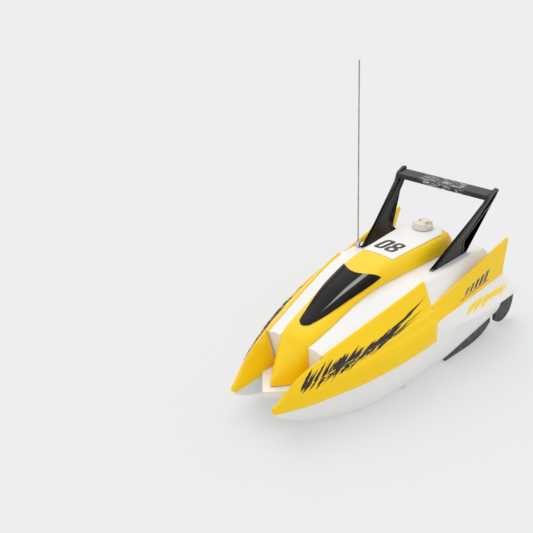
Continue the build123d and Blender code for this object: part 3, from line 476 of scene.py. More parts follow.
def cover_corners(station):
    """Corners of the cover's outside, from the sheer over the deck edge to its inner lip."""
    s = max(3, station)
    sheer_x, sheer_z = read(SHEER, s)
    shoulder_x, shoulder_z = read(SHOULDER, s)
    edge_x, edge_z = read(DECK_EDGE, s)
    corners = [(sheer_x + COVER_SKIN, sheer_z), (shoulder_x + COVER_SKIN, shoulder_z + 0.4 * COVER_SKIN),
               (edge_x + 0.4 * COVER_SKIN, edge_z + COVER_SKIN)]
    if station < RIDGE_END:
        corners += [(INNER - COVER_SKIN, sheer_z + 5), (INNER - COVER_SKIN, sheer_z)]
    else:
        corners += [(edge_x - 1.8, edge_z + COVER_SKIN), (edge_x - 1.8, edge_z - 2)]
    if station < 3:
        t = math.sqrt(1 - (1 - max(0, station - 0.15) / 2.85)**2)
        corners = [tuple((1 - t) * np.array(a) + t * np.array(b)) for a, b in zip(COVER_TIP, corners)]
    return corners


GIRTH = np.concatenate([np.linspace(0, 0.28, 9)[:-1], np.linspace(0.28, 0.56, 33),
                        np.linspace(0.56, 0.76, 8)[1:], np.linspace(0.76, 0.90, 15)[1:],
                        np.linspace(0.90, 1, 5)[1:]])
CORNER_SHARES = (0, 0.25, 0.80, 0.86, 1)
STEPS = [(0.315, 0.330, 0.45), (0.385, 0.400, -0.75), (0.450, 0.468, 1.15), (0.520, 0.532, -0.3)]


def relief(t, station):
    """How far the lengthwise steps push the surface out, in millimetres."""
    fade = smooth(6, 70, station)
    return fade * (0.30 - sum(depth * smooth(low, high, t) for low, high, depth in STEPS)) * smooth(0, 0.1, t)


def cover_section(station, shares, lift=0.0):
    """Points of the cover's section at shares of its girth, lifted off the surface.
    Shares 0, 0.25, 0.8 and 1 are the sheer, the shoulder, the deck edge and the inner lip."""
    corners = np.array(cover_corners(station))
    reach = np.concatenate([[0], np.cumsum(np.linalg.norm(np.diff(corners, axis=0), axis=1))])
    outline = rounded(corners, (7, 3.2, 1.6), 6)

    def at(values):
        return resample(outline, np.interp(values, CORNER_SHARES, reach / reach[-1]))

    shares = np.array(shares, dtype=float)
    tangent = at(np.minimum(1, shares + 0.004)) - at(np.maximum(0, shares - 0.004))
    tangent /= np.maximum(np.linalg.norm(tangent, axis=1)[:, None], 1e-9)
    normal = np.stack([tangent[:, 1], -tangent[:, 0]], axis=1)
    out = np.array([relief(t, station) + lift for t in shares])
    return at(shares) + normal * out[:, None]


def cover_point(station, t, lift=0.0):
    """A frame point on the port cover."""
    x, z = cover_section(station, [t], lift)[0]
    return place(x, station, z)


def rear_station(z):
    """Station of the cover's slanted rear edge at a height."""
    return float(np.interp(z, [row[0] for row in COVER_REAR], [row[1] for row in COVER_REAR]))


REAR_END = [rear_station(z) for z in cover_section(155, GIRTH)[:, 1]]


def cover_rows():
    """Rows of the cover, each running a little further aft where it is higher."""
    shares = np.concatenate([[0, 0.001, 0.003, 0.006, 0.011], np.linspace(0.02, 1, 66)])
    rows = []
    for v in shares:
        row = []
        for t, end in zip(GIRTH, REAR_END):
            row.append((0.15 + v * (end - 0.15), t))
        rows.append(row)
    return [[cover_point(s, t) for s, t in row] for row in rows]


cover_shape = grid(cover_rows(), first_cap=True)
print("cover:", len(cover_shape[0]), "points")

# %% [markdown]
# ## The tail fins
# A fin starts behind each cover, lying along the deck's flank, and twists upright as it runs aft. It is
# a solid blade, so it is made as a closed loft between its outer and inner faces.

# %% Fins
FIN = {140: [(66, 54.6), (68.2, 56.2), (59.6, 66.1), (57.3, 64.6)],
       274: [(60.8, 61), (63.4, 61), (61.4, 94.6), (59.2, 94.6)]}
FIN_FRONT = [(48, 147.2), (50, 148.2), (90, 163.6)]
FIN_REAR = [(58, 261), (66, 262.5), (92, 271), (96, 269.8)]


def fin_point(station, height, outside):
    """A point on the fin; height runs 0 to 1, outside is 1 on the outer face and 0 on the inner."""
    t = (station - 140) / 134
    corners = [(1 - t) * np.array(a) + t * np.array(b) for a, b in zip(FIN[140], FIN[274])]
    inner = corners[0] + (corners[3] - corners[0]) * height
    outer = corners[1] + (corners[2] - corners[1]) * height
    return inner + (outer - inner) * outside


def fin_station(v, height):
    """Station at share v of the fin's length, between its slanted ends."""
    station = 140 + 134 * v
    for _ in range(3):
        z = fin_point(station, height, 1)[1]
        first = np.interp(z, [r[0] for r in FIN_FRONT], [r[1] for r in FIN_FRONT])
        last = np.interp(z, [r[0] for r in FIN_REAR], [r[1] for r in FIN_REAR])
        station = first + v * (last - first)
    return station


def fin_surface(v, height, outside=1.0, lift=0.0):
    """Frame point on the port fin."""
    s = fin_station(v, height)
    x, z = fin_point(s, height, outside)
    return place(x + lift, s, z)


rim = [(h, 1) for h in np.linspace(0.02, 1, 11)] + [(h, 0) for h in np.linspace(1, 0.02, 11)]
fin_rows = [[fin_surface(v, h, side) for h, side in rim] for v in np.linspace(0, 1, 30)]
fin_shape = grid(fin_rows, wrap=True, first_cap=True, last_cap=True)
print("fin:", len(fin_shape[0]), "points")

# %% [markdown]
# ## The cowl, its windscreen and roof plate
# The cowl is the lift-off hatch cover. It rises from a sharp nose on the prow to a rounded roof and
# falls off behind the latch. A height function of its skin lets the screen and the plate be draped on
# it, the way the real ones sit in shallow seats.

# %% The cowl's skin
COWL = [(21.5, 0.8, 31.2, 0.7, 33.2, 0.4, 34.4, 34.6), (34, 10.8, 31.2, 9.2, 40, 6.2, 47, 49.5),
        (43, 15.2, 31.2, 13.6, 50, 9.4, 56.8, 59.2), (50, 16.4, 31.2, 15.2, 60, 11.2, 64.4, 66.6),
        (60, 17.8, 45, 16.6, 65.5, 11.6, 69.4, 71.4),
        (75, 19, 62, 18, 70, 11.5, 74.5, 76), (110, 20, 74, 19.6, 83, 13, 88, 89.5),
        (137, 22, 80, 21.2, 90, 16, 95.5, 97), (157, 24, 83, 22.8, 92.5, 17, 98.6, 99.6),
        (225, 27.5, 83, 26, 93, 21.2, 100.2, 101.4), (235, 26, 83, 24.5, 92, 19.8, 99.6, 101),
        (244, 19, 83, 17, 90.5, 11, 94, 95), (251, 11, 83, 9, 86, 5, 87.5, 88)]


def cowl_half(station):
    """Port corners of the cowl's section, its foot resting on the prow or on the deck."""
    foot_x, foot_z, flank_x, flank_z, roof_x, roof_z, ridge = read(COWL, station)
    if station >= 50:
        seat = max(read(CROWN, station)[1], 60) + 0.25
        if foot_z < seat:
            share = min(0.8, (seat - foot_z) / (flank_z - foot_z))
            foot_x, foot_z = foot_x + share * (flank_x - foot_x), seat
    return [(foot_x, foot_z), (flank_x, max(flank_z, foot_z + 0.4)), (roof_x, roof_z), (0, ridge)]


def cowl_section(station):
    """Rounded section of the cowl from port foot to starboard foot."""
    half = cowl_half(station)
    whole = half + [(-x, z) for x, z in half[-2::-1]]
    top = smooth(30, 60, station)
    return rounded(whole, (7, 5 + 3 * top, 1.5 + 10 * top, 5 + 3 * top, 7), 6)


def cowl_height(x, station):
    """Height of the cowl's skin above a plan position."""
    section = np.array(cowl_section(station))
    return float(np.interp(-x, -section[:, 0], section[:, 1]))


def cowl_normal(x, station):
    """Unit direction square to the cowl's skin."""
    step = 0.4
    rise_x = (cowl_height(x + step, station) - cowl_height(x - step, station)) / (2 * step)
    rise_s = (cowl_height(x, station + step) - cowl_height(x, station - step)) / (2 * step)
    return Vector((-rise_x, -rise_s, 1)).normalized()


def on_cowl(x, station, lift):
    """Frame point above the cowl's skin by a lift in millimetres."""
    normal = cowl_normal(x, station)
    z = cowl_height(x, station)
    return place(x + normal.x * lift, station + normal.y * lift, z + normal.z * lift)


cowl_stations = list(np.linspace(21.5, 49.8, 20)) + [50.0] + list(np.linspace(51.5, 251, 80))
cowl_rows = [[place(x, s, z) for x, z in cowl_section(s)] for s in cowl_stations]
cowl = new_mesh("cowl_shell", *grid(cowl_rows, first_cap=True, last_cap=True))
outward(cowl)
thicken(cowl, 1.4 * MM)
knob_x, knob_y = place(0, 224, 0)[:2]
cut(cowl, [prism(disc(knob_x, knob_y, 2.8 * MM), 90 * MM, 110 * MM)])
print("cowl", len(cowl.data.polygons), "faces")

# %% [markdown]
# The screen is a blade-shaped patch: a small round tip, two bowed sides and a hollow rear edge with swept
# corners. It is thin smoked plastic; a light grey band along its port side is a painted reflection.

# %% Windscreen and roof plate
def screen_point(t, u, lift):
    """Point of the windscreen; t runs from its tip aft, u across from starboard (-1) to port (1)."""
    half_width = 4.6 * math.sqrt(min(1, t / 0.045)) + 15.4 * (1 - (1 - t)**1.6)
    rear = 125 + 11.3 * abs(u)**1.9
    station = 59.5 + (rear - 59.5) * t
    return on_cowl(u * half_width, station, lift)


SCREEN_T = np.linspace(0, 1, 34)**1.35
SCREEN_U = np.linspace(-1, 1, 33)
screen_rows = [[screen_point(t, u, 0.85) for u in SCREEN_U] for t in SCREEN_T]
screen = new_mesh("windscreen_glass", *grid(screen_rows))
bm = bmesh.new()
bm.from_mesh(screen.data)
bmesh.ops.remove_doubles(bm, verts=bm.verts, dist=1e-5)
for face in bm.faces:
    if face.normal.z < 0:
        face.normal_flip()
bm.to_mesh(screen.data)
bm.free()
thicken(screen, 1.1 * MM)


def plate_half_width(station):
    return float(np.interp(station, [157.4, 225, 232, 235], [15.7, 19.6, 15.6, 12]))


PLATE_STATIONS = list(np.linspace(157.4, 225, 26)) + [227.3, 229.6, 232, 233.5, 235]
PLATE_U = np.linspace(-1, 1, 21)
plate_rows = [[on_cowl(u * plate_half_width(s), s, 0.9) for u in PLATE_U] for s in PLATE_STATIONS]
plate = new_mesh("roof_panel", *grid(plate_rows))
if plate.data.polygons[0].normal.z < 0:
    plate.data.flip_normals()
thicken(plate, 1.1 * MM)
cut(plate, [prism(disc(knob_x, knob_y, 2.8 * MM), 90 * MM, 110 * MM)])
print("screen", len(screen.data.polygons), "plate", len(plate.data.polygons), "faces")


# %% [markdown]
# ## The arch
# Two raked struts lean outward and carry a wing. The struts are flat plates with a sunk panel, so each
# is an outline pushed out to a plate, then inset on both faces. The wing keeps its folded section.

# %% Arch struts and wing
ARCH_FOOT_X = 38.5
LEAN = math.radians(12)
ARCH_PLATE = 3.2
STRUT = [(186.5, -0.4), (247, 47), (251, 53.5), (261, 57), (264, 56.5), (260, 45.5), (225, 15.5), (232, 0.5),
         (232, -0.4)]
STRUT_RADII = (0.6, 3, 3, 1.2, 2, 9, 5, 0.4, 0.4)
WING = [(248, 132.5), (249.5, 136.9), (261, 138.7), (262, 137.7), (259.5, 134.1)]
WING_HALF = 48


def closed_rounded(corners, radii, steps=4):
    """Closed outline with every corner rounded."""
    count = len(corners)
    out = []
    for k in range(count):
        trio = [corners[(k - 1) % count], corners[k], corners[(k + 1) % count]]
        out += rounded(trio, (radii[k],), steps)[1:-1]
    return out


def strut_point(station, rise, depth):
    """Frame point on the leaning plane of the port strut."""
    x = ARCH_FOOT_X + rise * math.sin(LEAN) + depth * math.cos(LEAN)
    z = 85 + rise * math.cos(LEAN) - depth * math.sin(LEAN)
    return place(x, station, z)


def strut_shape():
    outline = closed_rounded(STRUT, STRUT_RADII)
    near = [strut_point(s, r, ARCH_PLATE / 2) for s, r in outline]
    far = [strut_point(s, r, -ARCH_PLATE / 2) for s, r in outline]
    n = len(outline)
    faces = [[i, (i + 1) % n, n + (i + 1) % n, n + i] for i in range(n)]
    return near + far, faces + [list(range(n))[::-1], list(range(n, 2 * n))]


def sink_panels(piece, margin, depth):
    """Inset the large flat faces of a plate and push them in."""
    bm = bmesh.new()
    bm.from_mesh(piece.data)
    flat = [f for f in bm.faces if len(f.verts) > 12]
    bmesh.ops.inset_region(bm, faces=flat, thickness=margin, depth=0, use_even_offset=True)
    bmesh.ops.inset_region(bm, faces=flat, thickness=0.25 * MM, depth=-depth, use_even_offset=True)
    bm.to_mesh(piece.data)
    bm.free()


struts = {}
for side, shape in (("port", strut_shape()), ("starboard", mirrored(*strut_shape()))):
    strut = new_mesh(f"{side}_arch_strut", *shape)
    outward(strut)
    sink_panels(strut, 1.5 * MM, 0.45 * MM)
    struts[side] = strut

wing_outline = closed_rounded(WING, (1.4, 1.6, 0.5, 0.5, 1.6), 5)
wing_rows = [[place(x, s, z) for s, z in wing_outline] for x in np.linspace(-WING_HALF, WING_HALF, 25)]
wing = new_mesh("wing_bar", *grid(wing_rows, wrap=True, first_cap=True, last_cap=True))
outward(wing)
print("strut", len(strut.data.polygons), "wing", len(wing.data.polygons), "faces")

# %% [markdown]
# ## Printed slashes
# The covers carry a torn brush mark: short steep strokes near the bow that stretch into long thin
# streaks further aft. The flares carry a small version in yellow. Such marks are pad printed, a film of
# ink, so each stroke is a very thin closed shell that follows the surface under it. The seeds are fixed.

# %% Strokes on a surface
INK = 0.09


def stroke(surface, start, end, width, roll, lift, pieces=9):
    """Thin closed shell from start to end in surface coordinates, ragged on both sides."""
    start, end = np.array(start), np.array(end)
    along = end - start
    left, right = [], []
    for k in range(pieces + 1):
        t = k / pieces
        taper = min(1, 3.2 * t) * min(1, 2.6 * (1 - t)) + 0.03
        centre = start + along * t
        wide = width * taper
        left.append(centre + np.array([-0.35, 1.0]) * wide * (0.55 + 0.45 * roll.random()))
        right.append(centre - np.array([-0.35, 1.0]) * wide * (0.55 + 0.45 * roll.random()))
    rows = []
    for a, b in zip(left, right):
        mid = (a + b) / 2
        rows.append([surface(*a, lift), surface(*mid, lift), surface(*b, lift),
                     surface(*b, lift - INK), surface(*mid, lift - INK), surface(*a, lift - INK)])
    return grid(rows, wrap=True, first_cap=True, last_cap=True)


def cover_ink(station, girth, lift):
    """Port cover point from a station and millimetres of girth above the shoulder."""
    s = min(160, max(4, station))
    shoulder, edge = np.array(read(SHOULDER, s)), np.array(read(DECK_EDGE, s))
    share = 0.25 + 0.55 * girth / np.linalg.norm(edge - shoulder)
    return cover_point(station, min(0.83, max(0.02, share)), lift)


BAND = [(18, 8.0), (40, 9.0), (60, 9.8), (90, 12.2), (120, 17), (156, 24.5)]
# Kinds of stroke: count, first and last station, offset and scatter from the band, least and most width,
# least and most length, in millimetres.
STROKE_KINDS = [(16, 26, 110, 0.0, 1.3, 0.95, 1.8, 19, 30), (20, 26, 118, -1.4, 2.4, 0.35, 0.8, 12, 22),
                (22, 30, 134, -2.4, 2.4, 0.16, 0.34, 14, 26), (9, 92, 138, 0.4, 1.5, 0.5, 1.2, 26, 42)]


def cover_strokes(seed):
    """The torn brush mark of one cover: bold strokes, thin splinters beside them and long tails."""
    roll = random.Random(seed)
    shapes = []
    for count, first, last, side, spread, thin, thick, short, long in STROKE_KINDS:
        for k in range(count):
            station = first + (last - first) * (k + roll.random()) / count
            share = smooth(20, 130, station)
            angle = math.radians(37 - 27 * share + roll.uniform(-3, 3))
            length = roll.uniform(short, long) * (0.6 + 0.4 * smooth(20, 45, station))
            middle = np.array([station, read(BAND, station)[0] + side + roll.uniform(-spread, spread)])
            reach = 0.5 * length * np.array([math.cos(angle), math.sin(angle)])
            if middle[0] + reach[0] < 153:
                width = roll.uniform(thin, thick)
                shapes.append(stroke(cover_ink, middle - reach, middle + reach, width, roll, 0.10))
    shapes.append(stroke(cover_ink, (118, 17.2), (154, 25.2), 0.5, roll, 0.10, 12))
    return joined(*shapes)


def flare_ink(station, girth, lift):
    """Port flare point from a station and millimetres up from the sheer."""
    sheer, shoulder = np.array(read(SHEER, station)), np.array(read(SHOULDER, station))
    length = np.linalg.norm(shoulder - sheer)
    normal = np.array([shoulder[1] - sheer[1], sheer[0] - shoulder[0]]) / length
    x, z = sheer + (shoulder - sheer) * girth / length + normal * lift
    return place(x, station, z)


def flare_strokes(seed):
    """The small yellow brush mark on one flare."""
    roll = random.Random(seed)
    shapes = []
    for k in range(14):
        station = 198 + 3.9 * k
        angle = math.radians(25 - 0.9 * k + roll.uniform(-2, 2))
        length = roll.uniform(16, 22)
        middle = np.array([station, 9.2 + 0.08 * k + roll.uniform(-1.4, 1.4)])
        reach = 0.5 * length * np.array([math.cos(angle), math.sin(angle)])
        last = middle + reach
        if last[0] < 262:
            shapes.append(stroke(flare_ink, middle - reach, last, roll.uniform(1.0, 1.7), roll, 0.12, 6))
    return joined(*shapes)


def fin_ink(v, height, lift):
    return fin_surface(v, height, 1.0, lift)


def fin_strokes():
    """Plain slanted speed marks on a fin."""
    shapes = []
    for k in range(5):
        first = 0.40 + 0.068 * k
        wide = 0.034 + 0.003 * k
        tall = 0.20 + 0.02 * k
        rows = []
        for h in np.linspace(0, 1, 5):
            v, height = first + 0.045 * h, 0.29 - 0.015 * k + tall * h
            rows.append([fin_ink(v, height, 0.12), fin_ink(v + wide, height, 0.12),
                         fin_ink(v + wide, height, 0.02), fin_ink(v, height, 0.02)])
        shapes.append(grid(rows, wrap=True, first_cap=True, last_cap=True))
    for height, first, last in ((0.22, 0.34, 0.76),):
        rows = []
        for v in np.linspace(first, last, 14):
            h = height - 0.08 * (v - first)
            rows.append([fin_ink(v, h + 0.012, 0.12), fin_ink(v, h - 0.012, 0.12),
                         fin_ink(v, h - 0.012, 0.02), fin_ink(v, h + 0.012, 0.02)])
        shapes.append(grid(rows, wrap=True, first_cap=True, last_cap=True))
    return joined(*shapes)


port_slashes = cover_strokes(5)
starboard_slashes = mirrored(*cover_strokes(11))
yellow_marks = joined(flare_strokes(3), mirrored(*flare_strokes(8)))
fin_marks = joined(fin_strokes(), mirrored(*fin_strokes()))
print("ink faces:", len(port_slashes[1]), len(starboard_slashes[1]), len(yellow_marks[1]), len(fin_marks[1]))


# %% [markdown]
# The roof plate has a plain two-figure race number, leaning slightly. The first figure is one ring and
# the second is two, one on the other. It is laid on the plate like a decal.

# %% Race number
def ring_loop(cx, cs, half_wide, half_tall, corner):
    """Rounded rectangle about a centre, as plan points (x, station)."""
    corners = [(cx + half_wide, cs + half_tall), (cx - half_wide, cs + half_tall),
               (cx - half_wide, cs - half_tall), (cx + half_wide, cs - half_tall)]
    return closed_rounded(corners, (corner,) * 4, 6)


def laid(points):
    """Plan points leant to the side and laid on the plate, as upper and lower frame points."""
    leant = [(x + 0.16 * (s - 175), s) for x, s in points]
    return [on_cowl(x, s, 1.02) for x, s in leant], [on_cowl(x, s, 0.92) for x, s in leant]


def figure_ring(cx, cs, half_wide, half_tall, line):
    outer = ring_loop(cx, cs, half_wide, half_tall, 3.8)
    inner = ring_loop(cx, cs, half_wide - line, half_tall - line * 0.8, 1.5)
    rows = list(zip(laid(outer)[0], laid(inner)[0], laid(inner)[1], laid(outer)[1]))
    points, faces = grid(rows + [rows[0]], wrap=True)
    return points, faces


number_shape = joined(figure_ring(-5.7, 175, 5.1, 9.4, 3.6), figure_ring(5.7, 170.3, 5.1, 4.9, 3.2),
                      figure_ring(5.7, 179.6, 4.7, 4.8, 3.1))
print("race number:", len(number_shape[1]), "faces")


# %% [markdown]
# ## Finishes
# Almost everything here is injection-moulded plastic. Up close such plastic is never one flat colour:
# it has faint flow marks, a fine satin grain, paler rubbed edges and a little dust on upward faces.
# Those effects are shared, so they are shader groups that each material uses with its own values.

# %% Shader groups
def shader_group(name, inputs, outputs):
    """Empty shader group with named float, colour or vector sockets."""
    group = bpy.data.node_groups.new(name, "ShaderNodeTree")
    kinds = {"float": "NodeSocketFloat", "colour": "NodeSocketColor", "vector": "NodeSocketVector"}
    for label, kind, value in inputs:
        socket = group.interface.new_socket(name=label, in_out="INPUT", socket_type=kinds[kind])
        socket.default_value = value
    for label, kind in outputs:
        group.interface.new_socket(name=label, in_out="OUTPUT", socket_type=kinds[kind])
    return group, group.nodes.new("NodeGroupInput"), group.nodes.new("NodeGroupOutput")


def math_node(group, operation, first, second=None, clamp=False):
    """Math node whose inputs are sockets or numbers."""
    node = group.nodes.new("ShaderNodeMath")
    node.operation = operation
    node.use_clamp = clamp
    for socket, value in zip(node.inputs, (first, second)):
        if value is None:
            continue
        if isinstance(value, (int, float)):
            socket.default_value = value
        else:
            group.links.new(value, socket)
    return node.outputs[0]


def noise(group, vector, scale, detail=3.0, roughness=0.55):
    """Noise texture on a vector socket; scale is a socket or a number."""
    node = group.nodes.new("ShaderNodeTexNoise")
    group.links.new(vector, node.inputs["Vector"])
    node.inputs["Detail"].default_value = detail
    node.inputs["Roughness"].default_value = roughness
    if isinstance(scale, (int, float)):
        node.inputs["Scale"].default_value = scale
    else:
        group.links.new(scale, node.inputs["Scale"])
    return node.outputs["Fac"]


def ramp(group, value, low, high):
    """Map Range from low..high to 0..1, smooth and clamped."""
    node = group.nodes.new("ShaderNodeMapRange")
    node.interpolation_type = "SMOOTHSTEP"
    group.links.new(value, node.inputs["Value"])
    node.inputs["From Min"].default_value = low
    node.inputs["From Max"].default_value = high
    return node.outputs["Result"]


def mix_colour(group, factor, first, second):
    """Colour mix of two sockets or colours by a factor socket."""
    node = group.nodes.new("ShaderNodeMix")
    node.data_type = "RGBA"
    group.links.new(factor, node.inputs["Factor"])
    for name, value in (("A", first), ("B", second)):
        socket = next(s for s in node.inputs if s.name == name and s.type == "RGBA")
        if isinstance(value, tuple):
            socket.default_value = value
        else:
            group.links.new(value, socket)
    return next(s for s in node.outputs if s.type == "RGBA")


wear_group, wear_in, wear_out = shader_group(
    "edge_wear", [("Amount", "float", 0.5), ("Patches", "float", 180.0)], [("Mask", "float")])
geometry = wear_group.nodes.new("ShaderNodeNewGeometry")
place_node = wear_group.nodes.new("ShaderNodeTexCoord")
sharpness = ramp(wear_group, geometry.outputs["Pointiness"], 0.52, 0.62)
patch_noise = noise(wear_group, place_node.outputs["Object"], wear_in.outputs["Patches"])
patches = ramp(wear_group, patch_noise, 0.42, 0.66)
worn = math_node(wear_group, "MULTIPLY", sharpness, patches)
wear_group.links.new(math_node(wear_group, "MULTIPLY", worn, wear_in.outputs["Amount"], clamp=True),
                     wear_out.inputs["Mask"])

dust_group, dust_in, dust_out = shader_group("settled_dust", [("Amount", "float", 0.2)], [("Mask", "float")])
geometry = dust_group.nodes.new("ShaderNodeNewGeometry")
place_node = dust_group.nodes.new("ShaderNodeTexCoord")
parts = dust_group.nodes.new("ShaderNodeSeparateXYZ")
dust_group.links.new(geometry.outputs["Normal"], parts.inputs[0])
upward = ramp(dust_group, parts.outputs["Z"], 0.2, 1.0)
specks = ramp(dust_group, noise(dust_group, place_node.outputs["Object"], 900.0, 5.0), 0.46, 0.72)
settled = math_node(dust_group, "MULTIPLY", upward, specks)
dust_group.links.new(math_node(dust_group, "MULTIPLY", settled, dust_in.outputs["Amount"], clamp=True),
                     dust_out.inputs["Mask"])

grain_group, grain_in, grain_out = shader_group(
    "moulded_grain", [("Colour", "colour", (0.8, 0.8, 0.8, 1)), ("Shade", "colour", (0.7, 0.7, 0.7, 1)),
                      ("Flow", "float", 26.0), ("Grain", "float", 2600.0), ("Gloss", "float", 0.3),
                      ("Gloss Range", "float", 0.1)],
    [("Colour", "colour"), ("Roughness", "float"), ("Height", "float")])
place_node = grain_group.nodes.new("ShaderNodeTexCoord")
stretch = grain_group.nodes.new("ShaderNodeMapping")
stretch.inputs["Scale"].default_value = (1.0, 0.35, 1.0)
grain_group.links.new(place_node.outputs["Object"], stretch.inputs["Vector"])
flow = ramp(grain_group, noise(grain_group, stretch.outputs[0], grain_in.outputs["Flow"]), 0.3, 0.75)
fine = noise(grain_group, place_node.outputs["Object"], grain_in.outputs["Grain"], 2.0)
grain_group.links.new(mix_colour(grain_group, flow, grain_in.outputs["Colour"], grain_in.outputs["Shade"]),
                      grain_out.inputs["Colour"])
swing = math_node(grain_group, "MULTIPLY", math_node(grain_group, "SUBTRACT", flow, 0.5),
                  grain_in.outputs["Gloss Range"])
grain_group.links.new(math_node(grain_group, "ADD", swing, grain_in.outputs["Gloss"], clamp=True),
                      grain_out.inputs["Roughness"])
grain_group.links.new(fine, grain_out.inputs["Height"])
print("shader groups:", [g.name for g in (wear_group, dust_group, grain_group)])

# %% [markdown]
# A finish takes its colour and its shade from the grain group, then rubs the edges and lays dust on
# top. Plastic, rubber and metal differ only in their values. Numbers that are the same all over the
# piece, such as the coat or the metallic value, are set on the shader itself.

# %% Finish maker
def use_group(material, group, **values):
    node = material.node_tree.nodes.new("ShaderNodeGroup")
    node.node_tree = group
    for name, value in values.items():
        node.inputs[name.replace("_", " ")].default_value = value
    return node


def rgba(colour):
    return (*colour, 1.0)


def finish_material(name, colour, shade=None, gloss=0.35, spread=0.1, metal=0.0, coat=0.0, grain=0.00002,
                    grain_size=2600.0, flow=26.0, wear=0.35, worn=None, dust=0.12, shine=0.5):
    """Material with flow marks, grain, rubbed edges and dust."""
    shade = shade or tuple(0.93 * c for c in colour)
    worn = worn or tuple(min(1, 0.35 + 0.75 * c) for c in colour)
    material = bpy.data.materials.new(name)
    material.use_nodes = True
    tree = material.node_tree
    shader = tree.nodes["Principled BSDF"]
    base = use_group(material, grain_group, Colour=rgba(colour), Shade=rgba(shade), Flow=flow,
                     Grain=grain_size, Gloss=gloss, Gloss_Range=spread)
    edge = use_group(material, wear_group, Amount=wear)
    powder = use_group(material, dust_group, Amount=dust)
    rubbed = mix_colour(tree, edge.outputs["Mask"], base.outputs["Colour"], rgba(worn))
    dusty = mix_colour(tree, powder.outputs["Mask"], rubbed, (0.72, 0.70, 0.66, 1))
    tree.links.new(dusty, shader.inputs["Base Color"])
    rougher = math_node(tree, "ADD", base.outputs["Roughness"],
                        math_node(tree, "MULTIPLY", powder.outputs["Mask"], 0.5), clamp=True)
    tree.links.new(rougher, shader.inputs["Roughness"])
    bump = tree.nodes.new("ShaderNodeBump")
    bump.inputs["Distance"].default_value = grain
    tree.links.new(base.outputs["Height"], bump.inputs["Height"])
    tree.links.new(bump.outputs["Normal"], shader.inputs["Normal"])
    shader.inputs["Metallic"].default_value = metal
    shader.inputs["Specular IOR Level"].default_value = shine
    shader.inputs["Coat Weight"].default_value = coat
    shader.inputs["Coat Roughness"].default_value = 0.08
    return material


YELLOW = (0.98, 0.655, 0.006)
FINISHES = {
    "white_plastic": finish_material("white_plastic", (0.87, 0.865, 0.845), (0.84, 0.83, 0.80), gloss=0.33,
                                     worn=(0.92, 0.92, 0.90), dust=0.06),
    "hull_white": finish_material("hull_white", (0.87, 0.87, 0.855), (0.83, 0.83, 0.815), gloss=0.38,
                                  worn=(0.88, 0.88, 0.87)),
    "yellow_plastic": finish_material("yellow_plastic", YELLOW, (0.96, 0.61, 0.005), gloss=0.34, spread=0.08,
                                      shine=0.3, worn=(1.0, 0.74, 0.16), dust=0.05),
    "screen_black": finish_material("screen_black", (0.006, 0.005, 0.005), (0.012, 0.009, 0.007), gloss=0.12,
                                    wear=0.2, dust=0.01, shine=0.09),
    "arch_black": finish_material("arch_black", (0.012, 0.013, 0.015), (0.018, 0.019, 0.022), gloss=0.34,
                                  wear=0.55, worn=(0.12, 0.12, 0.13), grain=0.00004, dust=0.04, shine=0.35),
    "guard_black": finish_material("guard_black", (0.020, 0.022, 0.027), (0.030, 0.032, 0.038), gloss=0.42,
                                   wear=0.5, worn=(0.13, 0.13, 0.14), grain=0.00005),
    "rudder_black": finish_material("rudder_black", (0.007, 0.008, 0.010), (0.012, 0.013, 0.016), gloss=0.48,
                                    wear=0.4, worn=(0.08, 0.08, 0.09), grain=0.00005, dust=0.03),
    "knob_cream": finish_material("knob_cream", (0.76, 0.72, 0.60), (0.70, 0.655, 0.53), gloss=0.42),
    "steel_wire": finish_material("steel_wire", (0.44, 0.33, 0.24), (0.34, 0.25, 0.18), gloss=0.30, metal=1.0,
                                  grain=0.00001, dust=0.0),
    "bright_steel": finish_material("bright_steel", (0.62, 0.63, 0.65), (0.54, 0.55, 0.57),
                                    gloss=0.24, metal=1.0),
    "zinc_screw": finish_material("zinc_screw", (0.55, 0.55, 0.56), (0.44, 0.44, 0.46), gloss=0.33, metal=1.0,
                                  flow=240.0, wear=0.6),
    "brass": finish_material("brass", (0.72, 0.50, 0.18), (0.60, 0.39, 0.13),
                             gloss=0.28, metal=1.0, flow=120.0),
    "motor_steel": finish_material("motor_steel", (0.48, 0.49, 0.50), (0.40, 0.41, 0.42),
                                   gloss=0.34, metal=1.0),
    "rubber_black": finish_material("rubber_black", (0.018, 0.018, 0.018), (0.026, 0.025, 0.024), gloss=0.72,
                                    grain=0.00008),
    "prop_plastic": finish_material("prop_plastic", (0.82, 0.47, 0.05), (0.74, 0.41, 0.04), gloss=0.34),
    "cell_wrap": finish_material("cell_wrap", (0.03, 0.16, 0.40), (0.025, 0.13, 0.34), gloss=0.26, coat=0.3),
    "tray_grey": finish_material("tray_grey", (0.20, 0.21, 0.22), (0.17, 0.18, 0.19), gloss=0.5),
    "board_green": finish_material("board_green", (0.02, 0.16, 0.06), (0.015, 0.12, 0.045), gloss=0.3,
                                   flow=300.0, coat=0.3),
    "chip_black": finish_material("chip_black", (0.02, 0.02, 0.022), (0.03, 0.03, 0.032), gloss=0.5),
    "crystal_can": finish_material("crystal_can", (0.66, 0.66, 0.67), (0.58, 0.58, 0.6),
                                   gloss=0.22, metal=1.0),
    "coil_copper": finish_material("coil_copper", (0.62, 0.25, 0.11), (0.50, 0.19, 0.08), gloss=0.3,
                                   metal=1.0, flow=500.0),
    "lead_red": finish_material("lead_red", (0.42, 0.012, 0.010), (0.34, 0.010, 0.008), gloss=0.4),
    "lead_black": finish_material("lead_black", (0.015, 0.015, 0.016), (0.022, 0.022, 0.023), gloss=0.42),
}
INK_BLACK = finish_material("printed_black", (0.014, 0.009, 0.008), (0.035, 0.012, 0.008), gloss=0.42,
                            flow=90.0, wear=0.0, dust=0.02)
